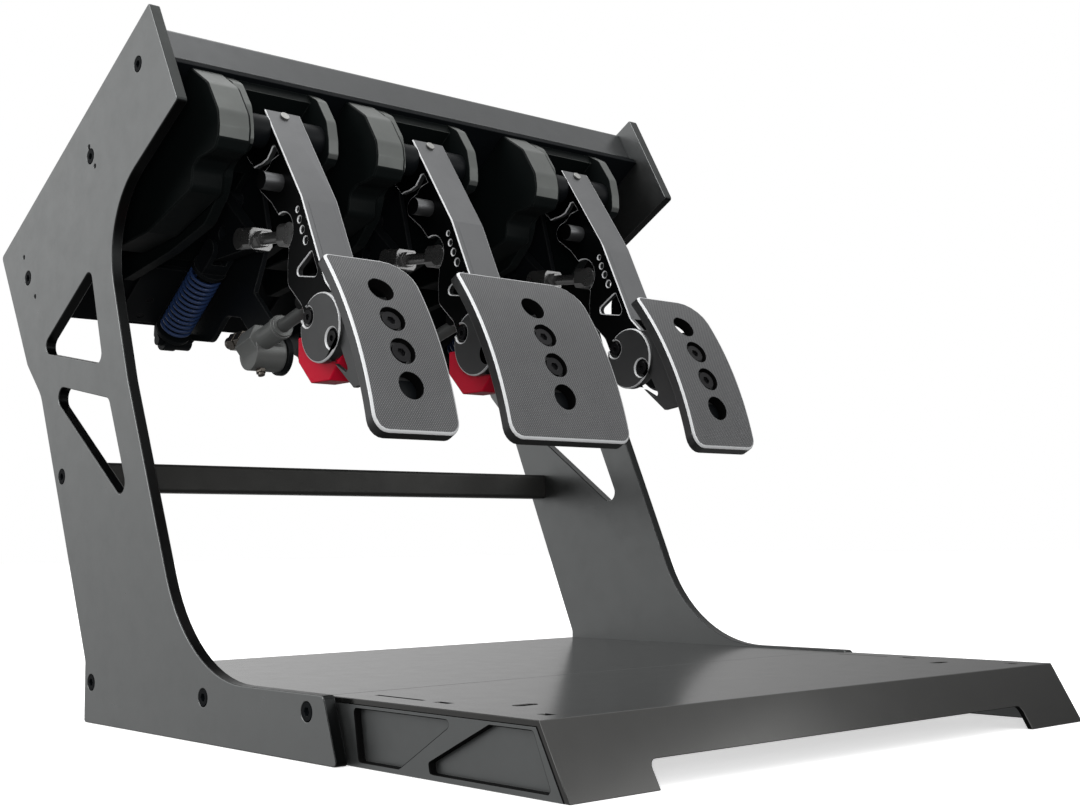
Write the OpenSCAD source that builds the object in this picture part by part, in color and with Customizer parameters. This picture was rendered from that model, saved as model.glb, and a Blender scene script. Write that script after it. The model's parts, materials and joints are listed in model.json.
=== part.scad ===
// Hanging sim racing pedal set: clutch, brake and throttle on a freestanding steel stand.
// Side views are drawn in [f, z]: f runs forward from the lower back edge, z runs up.
// Pieces of a pedal are drawn the same way, but measured from the pedal's pivot.
// All sizes are in millimetres.

/* [Stand] */
// Outer width across the two side plates
stand_w = 440; // [400:5:520]
// Height of the top ridge of the side plates
stand_h = 463; // [463:1:520]
// Length of the floor, from the back edge to the toe of the front lip
floor_len = 465.1; // [440:1:520]
// Thickness of the side plates
plate_t = 7.5; // [6.5:0.1:9]
// Thickness of the floor panels
panel_t = 3; // [2.5:0.1:3.5]
// Height of the floor surface over the ground
floor_h = 34.3; // [32:0.1:38]
// Side of the square crossbar
bar_w = 20.3; // [16:0.1:24]
// Thickness of the pedal deck
deck_t = 4; // [3.5:0.1:5]
// Thickness of the top cover
cover_t = 2; // [1.5:0.1:2.5]

/* [Pedals] */
// Clutch centre line, left of the middle
clutch_x = -132; // [-134:0.5:-128]
// Brake centre line
brake_x = -11; // [-14:0.5:-8]
// Throttle centre line, right of the middle
throttle_x = 132; // [125:0.5:140]
// Width of the clutch pad
clutch_pad_w = 62; // [50:1:76]
// Width of the brake pad
brake_pad_w = 102; // [80:1:120]
// Width of the throttle pad
throttle_pad_w = 62; // [50:1:76]
// Thickness of the pads
pad_t = 8; // [6:0.5:10]
// Width of a pedal arm over its two cheeks
arm_w = 27.3; // [26:0.1:28.5]
// Thickness of the arm cheeks
cheek_t = 4.2; // [3.6:0.1:4.2]
// Diameter of the grip holes in the pads
pad_hole_d = 17.5; // [15:0.5:19]

/* [Mechanism] */
// Diameter of the main pivot pins
pivot_d = 10; // [9:0.1:11]
// Diameter of the small pins of the linkage
link_pin_d = 6; // [5:0.1:6.5]
// Outer diameter of the coil springs
spring_d = 24; // [22:0.1:25]
// Diameter of the spring wire
wire_d = 2.6; // [2.2:0.1:3]
// Number of curls in each spring
spring_curls = 13; // [10:1:14]
// Diameter of the cylinder rods
rod_d = 9; // [8:0.1:10]
// Diameter of the cylinder's barrel
barrel_d = 15; // [14:0.1:16]

/* [Output] */
// Which piece to build

/* [Hidden] */
half_w = stand_w / 2;
inner_w = half_w - plate_t;
side_depth = 156.03;
y_back = (floor_len - side_depth) / 2;
fit = 0.06;
slack = 0.1;
over = 1;
fine = 48;
small = 24;

// Head of the stand: the ridge, the slope of its top edge and the two ends of that edge
head_tilt = 28.7;
head_len = 271;
head_front = 83.5;
head_under = 116.9;
ridge = [80.5, stand_h];
head_tail = along(ridge, head_tilt, -head_len, 0);
head_nose = along(ridge, head_tilt, 0, head_front);
neck = along(ridge, head_tilt, -head_under, head_front);

// The deck is a sloping plate; its line of side screws starts near the ridge
deck_tilt = 33.9;
deck_drop = 9;
deck_len = 250;
deck_front = 18;
deck_screw = along(ridge, head_tilt, -30.8, 25.3);
deck_rear_screw = along(deck_screw, deck_tilt, -208, 0);
deck_mid_screw = along(deck_screw, deck_tilt, -84, 0);
flange_t = 3;
deck_under = deck_drop + deck_t;

// Pedal points, all measured from the pivot
pivot = deck_screw + [31.4, -39];
base_t = 8;
leg_in = 28.5;
leg_out = 36.5;
arm_eye = [25, -72];
rocker_pin = [-83, -27];
rocker_front = [-39, -65];
rocker_rear = [-81, -66];
cup_pin = [-158, -121];
disc_mid = [79, -141];
disc_r = 22;
disc_out = arm_w / 2 + 6;
face_mid = [134.43, -151.14];
arc_r = 250;
pad_aim = 26.35;
pad_half = 61.96;
pad_hole_step = 22.9;
pad_hole_rise = 1.2;
arc_mid = face_mid - arc_r * [cos(pad_aim), sin(pad_aim)];
pad_holes = [for (k = [1.5, 0.5, -0.5, -1.5])
  pad_aim + (pad_hole_rise + k * pad_hole_step) / arc_r * 180 / PI];
rod_tilt = 14.5;
cylinder_mid = [-37, -140];
rod_eye_s = 84.7;
barrel_end = 43;
foot_mid = [-28.5, -144.3];
foot_r = 12;
port_from = [-28.5, -133.4];
port_len = 14;
frame_x = 16;
frame_t = 4;
small_pin_r = link_pin_d / 2;
loose_hole_r = small_pin_r + 1.2;
frame_pin_r = 4;
cup_aim = atan2(rocker_rear[1] - cup_pin[1], rocker_rear[0] - cup_pin[0]);
cup_reach = norm(rocker_rear - cup_pin);
spring_low = 12;
spring_high = 75;
wire_r = wire_d / 2;
coil_r = spring_d / 2 - wire_r;

// Screws and dowels of the side plates
screw_r = 3;
screw_hole_r = screw_r + slack;
head_r = 5;
head_h = 3;
dowel_r = 1.5;
bar_mid = [-42, 162.5];
foot_z = 26;
foot_f = [9.7, 159.3, 270.5];
deck_dowels = [[-82, 7.3], [-82.5, -10.9], [-205.5, 18.3], [-205.5, -20.2]];

// Flat geometry

function unit(v) = v / norm(v);

// Point reached from p by going a along a slope and down square to it
function along(p, slope, a, down) =
  p + a * [cos(slope), sin(slope)] + down * [sin(slope), -cos(slope)];

// Point on the deck's own grid: a along the deck, down below its screw line, from the pivot
function deck_point(a, down) = along(deck_screw, deck_tilt, a, down) - pivot;

function wrap(a) = a > 180 ? a - 360 : a < -180 ? a + 360 : a;

// Arc that rounds corner q between its neighbours p and s
function corner(p, q, s, r) =
  let (
    u = unit(p - q),
    v = unit(s - q),
    half = acos(u * v) / 2,
    mid = q + unit(u + v) * r / sin(half),
    from = q + u * r / tan(half) - mid,
    to = q + v * r / tan(half) - mid,
    start = atan2(from[1], from[0]),
    sweep = wrap(atan2(to[1], to[0]) - start),
    steps = max(2, ceil(abs(sweep) / (r > 30 ? 5 : 18)))
  )
  [for (i = [0:steps]) mid + r * [cos(start + sweep * i / steps), sin(start + sweep * i / steps)]];

function flat(p) = [p[0], p[1]];

// Outline through corners [f, z, radius]; radius 0 keeps the corner sharp
function outline(c) =
  [for (i = [0:len(c) - 1])
    let (p = flat(c[(i + len(c) - 1) % len(c)]), q = flat(c[i]), s = flat(c[(i + 1) % len(c)]))
    each (c[i][2] == 0 ? [q] : corner(p, q, s, c[i][2]))];

// Three points moved out so that rounding them by g goes round each point at that radius
function grown(c, g) =
  [for (i = [0:2])
    let (
      u = unit(c[(i + 2) % 3] - c[i]),
      v = unit(c[(i + 1) % 3] - c[i]),
      q = c[i] - unit(u + v) * g / sin(acos(u * v) / 2)
    )
    [q[0], q[1], g]];

// Placing

// Turns a flat drawing in [f, z] into a plate from x to x + t
module plate(x, t) {
  translate([x + t, y_back, 0]) rotate([90, 0, -90]) linear_extrude(t) children();
}

// The same for a drawing that is measured from the pivot
module pedal_plate(x, t) {
  translate([0, -pivot[0], pivot[1]]) plate(x, t) children();
}

// Points local Z along slope a at the point p of a pedal
module aim(x, p, a) {
  translate([x, y_back - pivot[0] - p[0], pivot[1] + p[1]]) rotate([90 - a, 0, 0]) children();
}

// Cylinder along X on a pedal, from x to x + t
module across(x, t, p, r, n = fine) {
  pedal_plate(x, t) translate(p) circle(r = r, $fn = n);
}

// Cylinder along X on the stand
module stand_across(x, t, p, r, n = small) {
  plate(x, t) translate(p) circle(r = r, $fn = n);
}

// Flat drawing laid on the deck's grid, measured from the pivot
module deck_flat() {
  translate(deck_screw - pivot) rotate(deck_tilt) children();
}

// Straight bar of width w between two points
module bar_flat(p, q, w) {
  translate(p) rotate(atan2(q[1] - p[1], q[0] - p[0])) translate([0, -w / 2])
    square([norm(q - p), w]);
}

module both_sides() {
  children();
  mirror([1, 0, 0]) children();
}

// Stand

module side_outline() {
  polygon(outline([
    [0, 0, 2], [298.8, 0, 2], [286, 35.3, 3], [139.1, 35.4, 101],
    [57.2, 220, 60], [neck[0], neck[1], 60], [head_nose[0], head_nose[1], 2.5],
    [ridge[0], ridge[1], 2], [head_tail[0], head_tail[1], 3],
    [head_tail[0] + 52, head_tail[1] - 87, 12], [head_tail[0] + 77, head_tail[1] - 111, 25],
    [0, 39.6, 6]]));
}

// The two triangular windows of a side plate
module side_windows() {
  rear = deck_rear_screw;
  polygon(outline([[rear[0] + 106, rear[1] - 8, 6], [rear[0] + 24, rear[1] - 57, 6],
    [rear[0] + 127, rear[1] - 76, 6]]));
  polygon(outline([[rear[0] + 33.5, rear[1] - 79.8, 7], [rear[0] + 136.5, rear[1] - 99.2, 7],
    [64.7, 134.3, 7]]));
}

function dowel_point(d) = along(deck_screw, deck_tilt, d[0], -d[1]);

function side_screws() =
  [deck_screw, deck_mid_screw, deck_rear_screw, bar_mid,
    each [for (f = foot_f) [f, foot_z]]];

module side_plate() {
  difference() {
    plate(inner_w, plate_t) difference() {
      side_outline();
      side_windows();
    }
    for (p = side_screws()) {
      stand_across(inner_w - over, plate_t + 2 * over, p, screw_hole_r);
      stand_across(half_w - head_h - 0.2, head_h + over, p, head_r + 0.3);
    }
    for (d = deck_dowels)
      stand_across(inner_w - over, plate_t + 2 * over, dowel_point(d), dowel_r + fit);
  }
}

module right_side_plate() {
  color("dimgray") side_plate();
}

module left_side_plate() {
  color("dimgray") mirror([1, 0, 0]) side_plate();
}

// Folded cover between the side plates: top sheet, front flange with a hem, two side tabs
module top_cover() {
  gap = 1;
  flange_s = -16.5;
  color("gray") {
    plate(-inner_w, 2 * inner_w) translate(ridge) rotate(head_tilt)
      polygon(outline([
        [flange_s, -gap, 3], [-head_len + 5, -gap, 0], [-head_len + 5, -gap - cover_t, 0],
        [flange_s - cover_t, -gap - cover_t, 0], [flange_s - cover_t, -25.3, 0],
        [flange_s - 6, -25.3, 0], [flange_s - 6, -25.3 - cover_t, 0],
        [flange_s, -25.3 - cover_t, 0]]));
    both_sides()
      plate(inner_w - cover_t, cover_t) translate(ridge) rotate(head_tilt)
        translate([-head_len + 12, -13]) square([head_len - 45, 13 - gap]);
  }
}

// Sloping plate that carries the three pedals, with flanges that the side screws hold
module pedal_deck() {
  color([0.12, 0.12, 0.13]) difference() {
    union() {
      pedal_plate(-inner_w, 2 * inner_w) deck_flat()
        translate([deck_front - deck_len, -deck_under]) square([deck_len, deck_t]);
      both_sides() pedal_plate(inner_w - flange_t, flange_t) deck_flat() {
        translate([-222, -deck_under]) square([230, deck_under + 10.5]);
        polygon(outline([[-216, -28, 5], [-195, -28, 5], [-195, 26, 5], [-216, 26, 5]]));
      }
    }
    for (p = [deck_screw, deck_mid_screw, deck_rear_screw])
      both_sides() stand_across(inner_w - flange_t - over, flange_t + 2 * over, p,
        screw_hole_r);
    for (d = deck_dowels)
      both_sides() stand_across(inner_w - flange_t, flange_t + over, dowel_point(d),
        dowel_r + fit);
    for (x = [clutch_x, brake_x, throttle_x], s = module_bolt_spots()) deck_bolt_hole(x, s);
  }
}

module crossbar() {
  s = bar_w / 2;
  r = 3;
  depth = 14;
  color([0.1, 0.1, 0.11]) difference() {
    plate(-inner_w, 2 * inner_w) translate(bar_mid)
      polygon(outline([[-s, -s, r], [s, -s, r], [s, s, r], [-s, s, r]]));
    both_sides() stand_across(inner_w - depth, depth + over, bar_mid, screw_hole_r);
  }
}

seam = 276.3;
lip_root = [floor_len - 19.4, floor_h];
lip_in = panel_t / cos(29.5);
panel_low = floor_h - panel_t;
rail_out = inner_w - 1.7;
rail_t = 8;

module rear_floor() {
  color([0.16, 0.16, 0.17]) difference() {
    union() {
      plate(-inner_w, 2 * inner_w) translate([0, panel_low]) square([seam, panel_t]);
      both_sides() plate(inner_w - flange_t, flange_t)
        translate([2, 12]) square([seam - 2, panel_low + 1 - 12]);
    }
    for (f = foot_f)
      both_sides() stand_across(inner_w - flange_t - over, flange_t + 2 * over, [f, foot_z],
        screw_hole_r);
  }
}

// Front panel with a sloping lip that ends in two feet, and a tongue under the rear panel
module front_floor() {
  tab_in = 155;
  tab_cut = 13;
  tongue = 17;
  color([0.17, 0.17, 0.18]) difference() {
    union() {
      plate(-rail_out, 2 * rail_out) polygon([
        [seam, floor_h], lip_root, [floor_len, 0], [floor_len - lip_in, 0],
        lip_slope(panel_low, lip_in), [seam, panel_low]]);
      plate(-rail_out + 15, 2 * rail_out - 30) polygon([
        [seam - tongue, panel_low], [seam - tongue, panel_low - panel_t],
        [seam + tongue, panel_low - panel_t], [seam + tongue, floor_h - 1],
        [seam, floor_h - 1], [seam, panel_low]]);
    }
    translate([0, y_back - lip_root[0] + 20, 0]) rotate([90, 0, 0]) linear_extrude(60)
      polygon(outline([[-tab_in, -over, 0], [tab_in, -over, 0], [tab_in, tab_cut, 4],
        [-tab_in, tab_cut, 4]]));
    both_sides() floor_slots();
  }
}

// Inner or outer line of the lip at height z
function lip_slope(z, inset) = [floor_len - (z / floor_h) * 19.4 - inset, z];

module floor_slots() {
  slot_r = 3.5;
  floor_cut(rail_out - 18.3, 315.5, 2.2, 41);
  floor_cut(rail_out - 18.3, 352.5, 4, 11);
  floor_cut(rail_out - 18.3, 429.5, 5, 7);
  for (x = [-slot_r, slot_r]) translate([172 + x, y_back - 390.5, panel_low - over])
    cylinder(r = slot_r, h = panel_t + 2 * over, $fn = small);
  floor_cut(172, 390.5, 2 * slot_r, 2 * slot_r);
}

module floor_cut(x, f, w, l) {
  translate([x - w / 2, y_back - f - l / 2, panel_low - over]) cube([w, l, panel_t + 2 * over]);
}

// Side rail under the front panel, with two recessed fields and a slanting rib between
module rail() {
  top = panel_low;
  recess = 4;
  difference() {
    plate(rail_out - rail_t, rail_t) polygon([[seam + tongue_clear, 0],
      lip_slope(0, lip_in + slack), lip_slope(top, lip_in + slack), [seam + tongue_clear, top]]);
    plate(rail_out - recess, recess + over) {
      polygon(outline([[300.9, top - 2, 2], [385.2, top - 2, 2], [340.1, 3, 2],
        [305.4, 3, 2]]));
      polygon(outline([[410.5, top - 2, 2], [floor_len - 24, top - 2, 2],
        [floor_len - 12, 3, 2], [365.4, 3, 2], [364.6, 8, 1]]));
    }
  }
}
tongue_clear = 4;

module right_rail() {
  color([0.12, 0.12, 0.13]) rail();
}

module left_rail() {
  color([0.12, 0.12, 0.13]) mirror([1, 0, 0]) rail();
}

// Socket screw through a side plate: head in the counterbore, shank to depth behind the plate
module side_screw(p, reach) {
  difference() {
    union() {
      stand_across(half_w - head_h, head_h, p, head_r);
      stand_across(inner_w - reach, half_w - head_h - inner_w + reach, p, screw_r);
    }
    plate(half_w - 1.8, 1.8 + over) translate(p) circle(r = 2.5, $fn = 6);
  }
}

module frame_fasteners() {
  color([0.08, 0.08, 0.09]) both_sides() {
    for (p = [deck_screw, deck_mid_screw, deck_rear_screw]) side_screw(p, 6);
    side_screw(bar_mid, 12);
    for (f = foot_f) side_screw([f, foot_z], 6);
    for (d = deck_dowels) stand_across(inner_w - flange_t + 0.3, plate_t + flange_t - 0.3,
      dowel_point(d), dowel_r, small);
  }
}

// Pedal module: fixed pieces

// Bolts of one module on the deck grid [along, across]
function module_bolt_spots() = [[-28, 20], [-28, -20], [-132, 20], [-132, -20],
  [-200, 0], [-218, 0]];

module on_deck_bolt(x, s) {
  aim(x + s[1], deck_point(s[0], deck_drop), deck_tilt + 90) children();
}

module deck_bolt_hole(x, s) {
  on_deck_bolt(x, s) translate([0, 0, -deck_t - 12]) cylinder(r = 2.5 + slack, h = 30,
    $fn = small);
}

module module_bolts() {
  color([0.1, 0.1, 0.11]) for (x = [clutch_x, brake_x, throttle_x], s = module_bolt_spots())
    on_deck_bolt(x, s) {
      cylinder(r = 4.5, h = 3, $fn = small);
      translate([0, 0, -deck_t - 3.5]) cylinder(r = 2.5, h = deck_t + 4, $fn = small);
    }
}

// Upside-down U that carries the pivot pin between its two legs
module yoke(x) {
  window_half = 12;
  legs = outline([
    [deck_point(14.5, deck_under)[0], deck_point(14.5, deck_under)[1], 0],
    [0, 29.6, 8], [12, 12, 10], [14.7, -1, 8], [14.9, -10.5, 4], [13.6, -13.5, 2],
    [10.3, -17, 3], [3, -18.3, 8], [-6, -21, 8], [-11.5, -25.5, 4], [-12.7, -31.3, 4],
    [-17, -42, 12], [-36, -59, 14], [-85, -70, 30], [-159, -80, 8],
    [deck_point(-172, deck_under)[0], deck_point(-172, deck_under)[1], 0]]);
  color([0.2, 0.2, 0.21]) difference() {
    union() {
      for (side = [-leg_out, leg_in]) pedal_plate(x + side, leg_out - leg_in) polygon(legs);
      pedal_plate(x - leg_in - over, 2 * (leg_in + over)) deck_flat()
        translate([-150, -deck_under - base_t]) square([164, base_t]);
    }
    pedal_plate(x - window_half, 2 * window_half) deck_flat()
      translate([-100, -deck_under - base_t - over]) square([42, base_t + 2 * over]);
    across(x - leg_out - over, 2 * (leg_out + over), [0, 0], pivot_d / 2 + fit);
    for (s = module_bolt_spots()) if (s[0] > -150) deck_bolt_hole(x, s);
  }
}

// Closed housing beside the left leg, with the same kinked front
module sensor_block(x) {
  color([0.13, 0.13, 0.14]) pedal_plate(x - 61, 61 - leg_out - 0.3) polygon(outline([
    [deck_point(16, deck_under)[0], deck_point(16, deck_under)[1], 0],
    [12, 22, 10], [25.6, 1, 12], [27, -9, 6], [26, -17, 4], [22, -23.5, 4], [11, -25, 6],
    [1, -25.4, 6], [-7, -30, 6], [-9, -44, 6], [-70, -62, 10], [-120, -66, 8],
    [deck_point(-150, deck_under)[0], deck_point(-150, deck_under)[1], 0]]));
}

module pivot_pins() {
  color("silver") for (x = [clutch_x, brake_x, throttle_x]) {
    across(x - leg_out, 2 * leg_out, [0, 0], pivot_d / 2);
    across(x + leg_out, 4, [0, 0], pivot_d / 2 + 3, small);
  }
}

// Hanging plate that carries the rocker, the coil-over and the cylinder
module damper_frame(x, has_cylinder) {
  sheet = outline([
    [deck_point(-226, deck_under)[0], deck_point(-226, deck_under)[1], 0],
    [deck_point(-176, deck_under)[0], deck_point(-176, deck_under)[1], 0],
    [deck_point(-153, deck_under)[0], deck_point(-153, deck_under)[1], 0],
    [deck_point(-153, deck_under + base_t)[0], deck_point(-153, deck_under + base_t)[1], 0],
    [deck_point(-45, deck_under + base_t)[0], deck_point(-45, deck_under + base_t)[1], 0],
    [-42, -60, 14], [-71, -114, 8], [-100, -108, 8], [-122, -125, 10], [-154, -120, 4],
    [-164, -124, 6], [-184, -123, 8], [-204, -117, 8], [-213, -110, 3]]);
  color([0.1, 0.1, 0.11]) difference() {
    union() {
      pedal_plate(x + frame_x, frame_t) {
        polygon(sheet);
        if (has_cylinder) {
          translate(foot_mid) circle(r = foot_r + 2, $fn = fine);
          bar_flat(foot_mid, [-75, -100], 24);
        }
      }
      pedal_plate(x - frame_x - frame_t, frame_t) {
        translate(rocker_pin) circle(r = 9, $fn = fine);
        bar_flat(rocker_pin, deck_point(-112, deck_under + base_t + 2), 14);
        deck_flat() translate([-125, -deck_under - base_t - 6]) square([30, 6]);
      }
      pedal_plate(x - frame_x - over, 2 * (frame_x + over)) deck_flat() {
        translate([-125, -deck_under - base_t - 4]) square([26, 4]);
        translate([-225, -deck_under - 4]) square([60, 4]);
      }
      across(x - frame_x - over, 2 * (frame_x + over), rocker_pin, frame_pin_r);
      across(x - 9, frame_x + 9 + over, cup_pin, frame_pin_r);
      across(x + 5.3, frame_x - 5.3 + over, cup_pin, 6.5);
      for (side = [-frame_x - over, 5.3])
        across(x + side, frame_x - 5.3 + over, rocker_pin, 6.5);
    }
    pedal_plate(x - 60, 120) deck_flat() {
      translate([-240, -deck_under]) square([280, 60]);
      translate([-153, -deck_under - base_t]) square([193, base_t + over]);
    }
    for (s = module_bolt_spots()) if (s[0] < -150) deck_bolt_hole(x, s);
  }
}

// Master cylinder: slim barrel, hexagon base, round foot on the frame plate and a rear port
module cylinder_body(x) {
  hex_from = -2;
  hex_len = 20;
  bore_from = 3;
  color([0.14, 0.14, 0.15]) difference() {
    union() {
      aim(x, cylinder_mid, rod_tilt) {
        cylinder(r = barrel_d / 2, h = barrel_end, $fn = fine);
        translate([0, 0, hex_from]) cylinder(r = 10 / cos(30), h = hex_len, $fn = 6);
        translate([0, 0, barrel_end - 6]) cylinder(r = barrel_d / 2 + 0.8, h = 4, $fn = fine);
      }
      across(x - 7, frame_x + 7, foot_mid, foot_r);
      aim(x, port_from, 180) cylinder(r = 5.5, h = port_len, $fn = fine);
    }
    aim(x, cylinder_mid, rod_tilt) translate([0, 0, bore_from])
      cylinder(r = rod_d / 2 + fit, h = barrel_end, $fn = fine);
  }
}

module cylinder_rod(x) {
  tip = barrel_end - 6;
  color("lightgray") difference() {
    union() {
      aim(x, cylinder_mid, rod_tilt) translate([0, 0, tip])
        cylinder(r = rod_d / 2, h = rod_eye_s - tip, $fn = fine);
      across(x - 4, 8, rod_eye(), 6.5);
    }
    across(x - 9, 18, rod_eye(), loose_hole_r);
  }
}

function rod_eye() = cylinder_mid + rod_eye_s * [cos(rod_tilt), sin(rod_tilt)];

// Hose union on the rear port and bleed nipple under the foot of each cylinder
module hydraulic_fittings() {
  color("silver") for (x = [clutch_x, brake_x]) {
    aim(x, port_from - [port_len + fit, 0], 180) {
      cylinder(r = 7, h = 7, $fn = 6);
      cylinder(r = 5, h = 17, $fn = small);
      translate([0, 0, 9.5]) cylinder(r = 6.6, h = 7.5, $fn = 6);
      translate([0, 0, 16]) cylinder(r = 4.4, h = 7, $fn = small);
    }
    aim(x, foot_mid, -70) translate([0, 0, foot_r + fit]) {
      cylinder(r = 3.6, h = 2.5, $fn = 6);
      cylinder(r = 2.4, h = 4.5, $fn = small);
    }
  }
}

// Pedal module: moving pieces

module pivot_bushes(x) {
  collar_in = arm_w / 2;
  color("darkgray") for (m = [0, 1]) translate([x, 0, 0]) mirror([m, 0, 0]) difference() {
    union() {
      across(collar_in - cheek_t, cheek_t + over, [0, 0], bush_r());
      across(collar_in, leg_in - 0.2 - collar_in, [0, 0], 11);
    }
    across(collar_in - cheek_t - over, leg_in, [0, 0], pivot_d / 2 + fit);
  }
}

function bush_r() = pivot_d / 2 + 3;

// Front face of the arm, from its top to the pad bracket, and the face behind it
spine = [[2.5, 15], [48, -52], [76, -111]];
spine_t = 5;

// Unit vectors down the upper spine and out of its front face
arm_down = unit(spine[1] - spine[0]);
arm_across = [-arm_down[1], arm_down[0]];

// Round stop that stands out of the left cheek, in the gap beside the yoke's leg
stop_pin = [22, -39];
stop_len = leg_in - arm_w / 2 - 1;

function spine_back(k) = spine[k] - spine_t * arm_across;

// Waved cheek: hub, notch, clevis recess, and the round end that the bracket is screwed to
module cheek() {
  difference() {
    union() {
      polygon(outline([
        [spine[0][0], spine[0][1], 1], [spine[1][0], spine[1][1], 60],
        [spine[2][0], spine[2][1], 4], [91, -125, 0], [79, -141, 0], [63, -153, 0],
        [48.5, -122.7, 10], [31.7, -107.6, 7], [31.6, -94, 6], [33, -84.4, 0],
        [25, -72, 0], [25, -65, 0], [11.5, -50.4, 4], [-4, -39, 5], [-5, -32, 4],
        [-1, -28, 3], [7, -25.5, 4], [12, -21, 4], [20, -19.5, 0], [16.5, -13, 0],
        [12.4, -13, 2], [6, -20, 3], [-11.5, -22.5, 1.5], [-19, -12, 12], [-24, 6, 12],
        [-9, 18.5, 3]]));
      translate([-4, -2]) circle(r = 19.8, $fn = fine);
      translate(disc_mid) circle(r = 20, $fn = fine);
    }
    polygon([spine[0], spine[0] - 60 * arm_across, spine[0] - 60 * arm_across - 60 * arm_down,
      spine[0] + 60 * arm_across - 60 * arm_down, spine[1] + 60 * arm_across, spine[1]]);
    translate(arm_eye) circle(r = 13, $fn = fine);
    polygon(outline([[61.3, -88.9, 3], [68.2, -107.1, 3], [37.7, -102, 3]]));
    translate([43.5, -60.2]) circle(r = 1.6, $fn = small);
    translate([45.9, -67.1]) circle(r = 2, $fn = small);
    translate([49.2, -74.2]) circle(r = 2.2, $fn = small);
    translate([53.2, -81.8]) circle(r = 2.4, $fn = small);
    circle(r = bush_r() + fit, $fn = fine);
  }
}

module arm(x, has_cylinder) {
  tongue_w = 10;
  boss_in = rod_d / 2 + 0.3;
  color([0.45, 0.45, 0.46]) difference() {
    union() {
      for (side = [-arm_w / 2, arm_w / 2 - cheek_t]) pedal_plate(x + side, cheek_t) cheek();
      pedal_plate(x - arm_w / 2, arm_w) polygon([each spine,
        spine_back(2), spine_back(1), spine_back(0)]);
      pedal_plate(x - tongue_w / 2, tongue_w) {
        translate(arm_eye) circle(r = 7.5, $fn = fine);
        polygon([arm_eye + [-1, -7.5], arm_eye + [0, 7.5], spine[1] + [-3, -2],
          spine[1] + [8, -20]]);
      }
      across(x - arm_w / 2 - stop_len, arm_w - over + stop_len, stop_pin, 5.9);
      if (has_cylinder) {
        across(x - arm_w / 2 + over, arm_w - 2 * over, rod_eye(), small_pin_r);
        for (side = [-arm_w / 2 + over, boss_in]) across(x + side, arm_w / 2 - over - boss_in,
          rod_eye(), 6);
      }
    }
    across(x - arm_w / 2 - over, arm_w + 2 * over, [0, 0], bush_r() + fit);
    across(x - tongue_w, 2 * tongue_w, arm_eye, small_pin_r + fit);
    for (p = disc_screws()) across(x - arm_w / 2 - over, arm_w + 2 * over, p, 2.5 + fit);
    spine_screw(x) translate([0, 0, -8]) cylinder(r = 2 + fit, h = 12, $fn = small);
  }
}

function disc_screws() = [[64.9, -132.8], [92, -149.1]];

// Local Z out of the arm's front face, near its top
module spine_screw(x) {
  aim(x, [5.05, 11.35], 34.2) children();
}

// Fork with two discs on the arm and a curved wall that the pad lies against
module pad_bracket(x) {
  web_t = 3.4;
  in_x = arm_w / 2;
  wall = 6;
  color([0.4, 0.4, 0.41]) difference() {
    union() {
      for (m = [0, 1]) translate([x, 0, 0]) mirror([m, 0, 0]) {
        across(in_x, disc_out - in_x, disc_mid, disc_r);
        pedal_plate(in_x, web_t) difference() {
          polygon([[76, -121], [98, -122], [138, -122], [138, -178], [112, -181],
            [90, -163], [70, -160]]);
          polygon(outline([[94, -148, 2], [86.5, -161.5, 2], [109, -174, 2]]));
        }
      }
      pedal_plate(x - in_x - over, 2 * (in_x + over)) intersection() {
        polygon([[105, -124], [138, -124], [138, -178], [112, -178]]);
        difference() {
          translate(arc_mid) circle(r = arc_r - pad_t + over, $fn = 180);
          translate(arc_mid) circle(r = arc_r - pad_t - wall, $fn = 180);
        }
      }
    }
    pedal_plate(x - 40, 80) difference() {
      translate(arc_mid) circle(r = arc_r + 60, $fn = 180);
      translate(arc_mid) circle(r = arc_r - pad_t - slack, $fn = 180);
    }
    for (m = [0, 1], p = disc_screws()) translate([x, 0, 0]) mirror([m, 0, 0]) {
      across(in_x - over, 9, p, 2.5 + fit, small);
      across(disc_out - 4, 4 + over, p, 6.4, small);
    }
    for (a = [pad_holes[1], pad_holes[2]]) on_pad(x, a) translate([0, 0, -pad_t - wall - 4])
      cylinder(r = screw_r + fit, h = wall + 8, $fn = small);
  }
}

// Local Z out of the pad's face at the angle a of its arc
module on_pad(x, a) {
  aim(x, arc_mid + arc_r * [cos(a), sin(a)], a) children();
}

// Curved pad with four grip holes; the middle two are stepped for the pad screws
module pad(x, w) {
  spread = asin(pad_half / arc_r) + 4;
  reach = 1.6 * arc_r;
  color([0.45, 0.45, 0.46]) difference() {
    intersection() {
      pedal_plate(x - w / 2, w) intersection() {
        difference() {
          translate(arc_mid) circle(r = arc_r, $fn = 180);
          translate(arc_mid) circle(r = arc_r - pad_t, $fn = 180);
        }
        polygon([arc_mid,
          arc_mid + reach * [cos(pad_aim - spread), sin(pad_aim - spread)],
          arc_mid + reach * [cos(pad_aim + spread), sin(pad_aim + spread)]]);
      }
      on_pad(x, pad_aim) translate([0, 0, -40]) linear_extrude(60) polygon(outline([
        [-w / 2, -pad_half, 10], [w / 2, -pad_half, 8], [w / 2, pad_half, 20],
        [-w / 2, pad_half, 4]]));
    }
    for (a = pad_holes) on_pad(x, a) {
      translate([0, 0, a == pad_holes[1] || a == pad_holes[2] ? -5 : -pad_t - 3])
        cylinder(r = pad_hole_d / 2, h = 20, $fn = fine);
      translate([0, 0, -pad_t - 3]) cylinder(r = screw_r + fit, h = 20, $fn = small);
    }
  }
}

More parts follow.
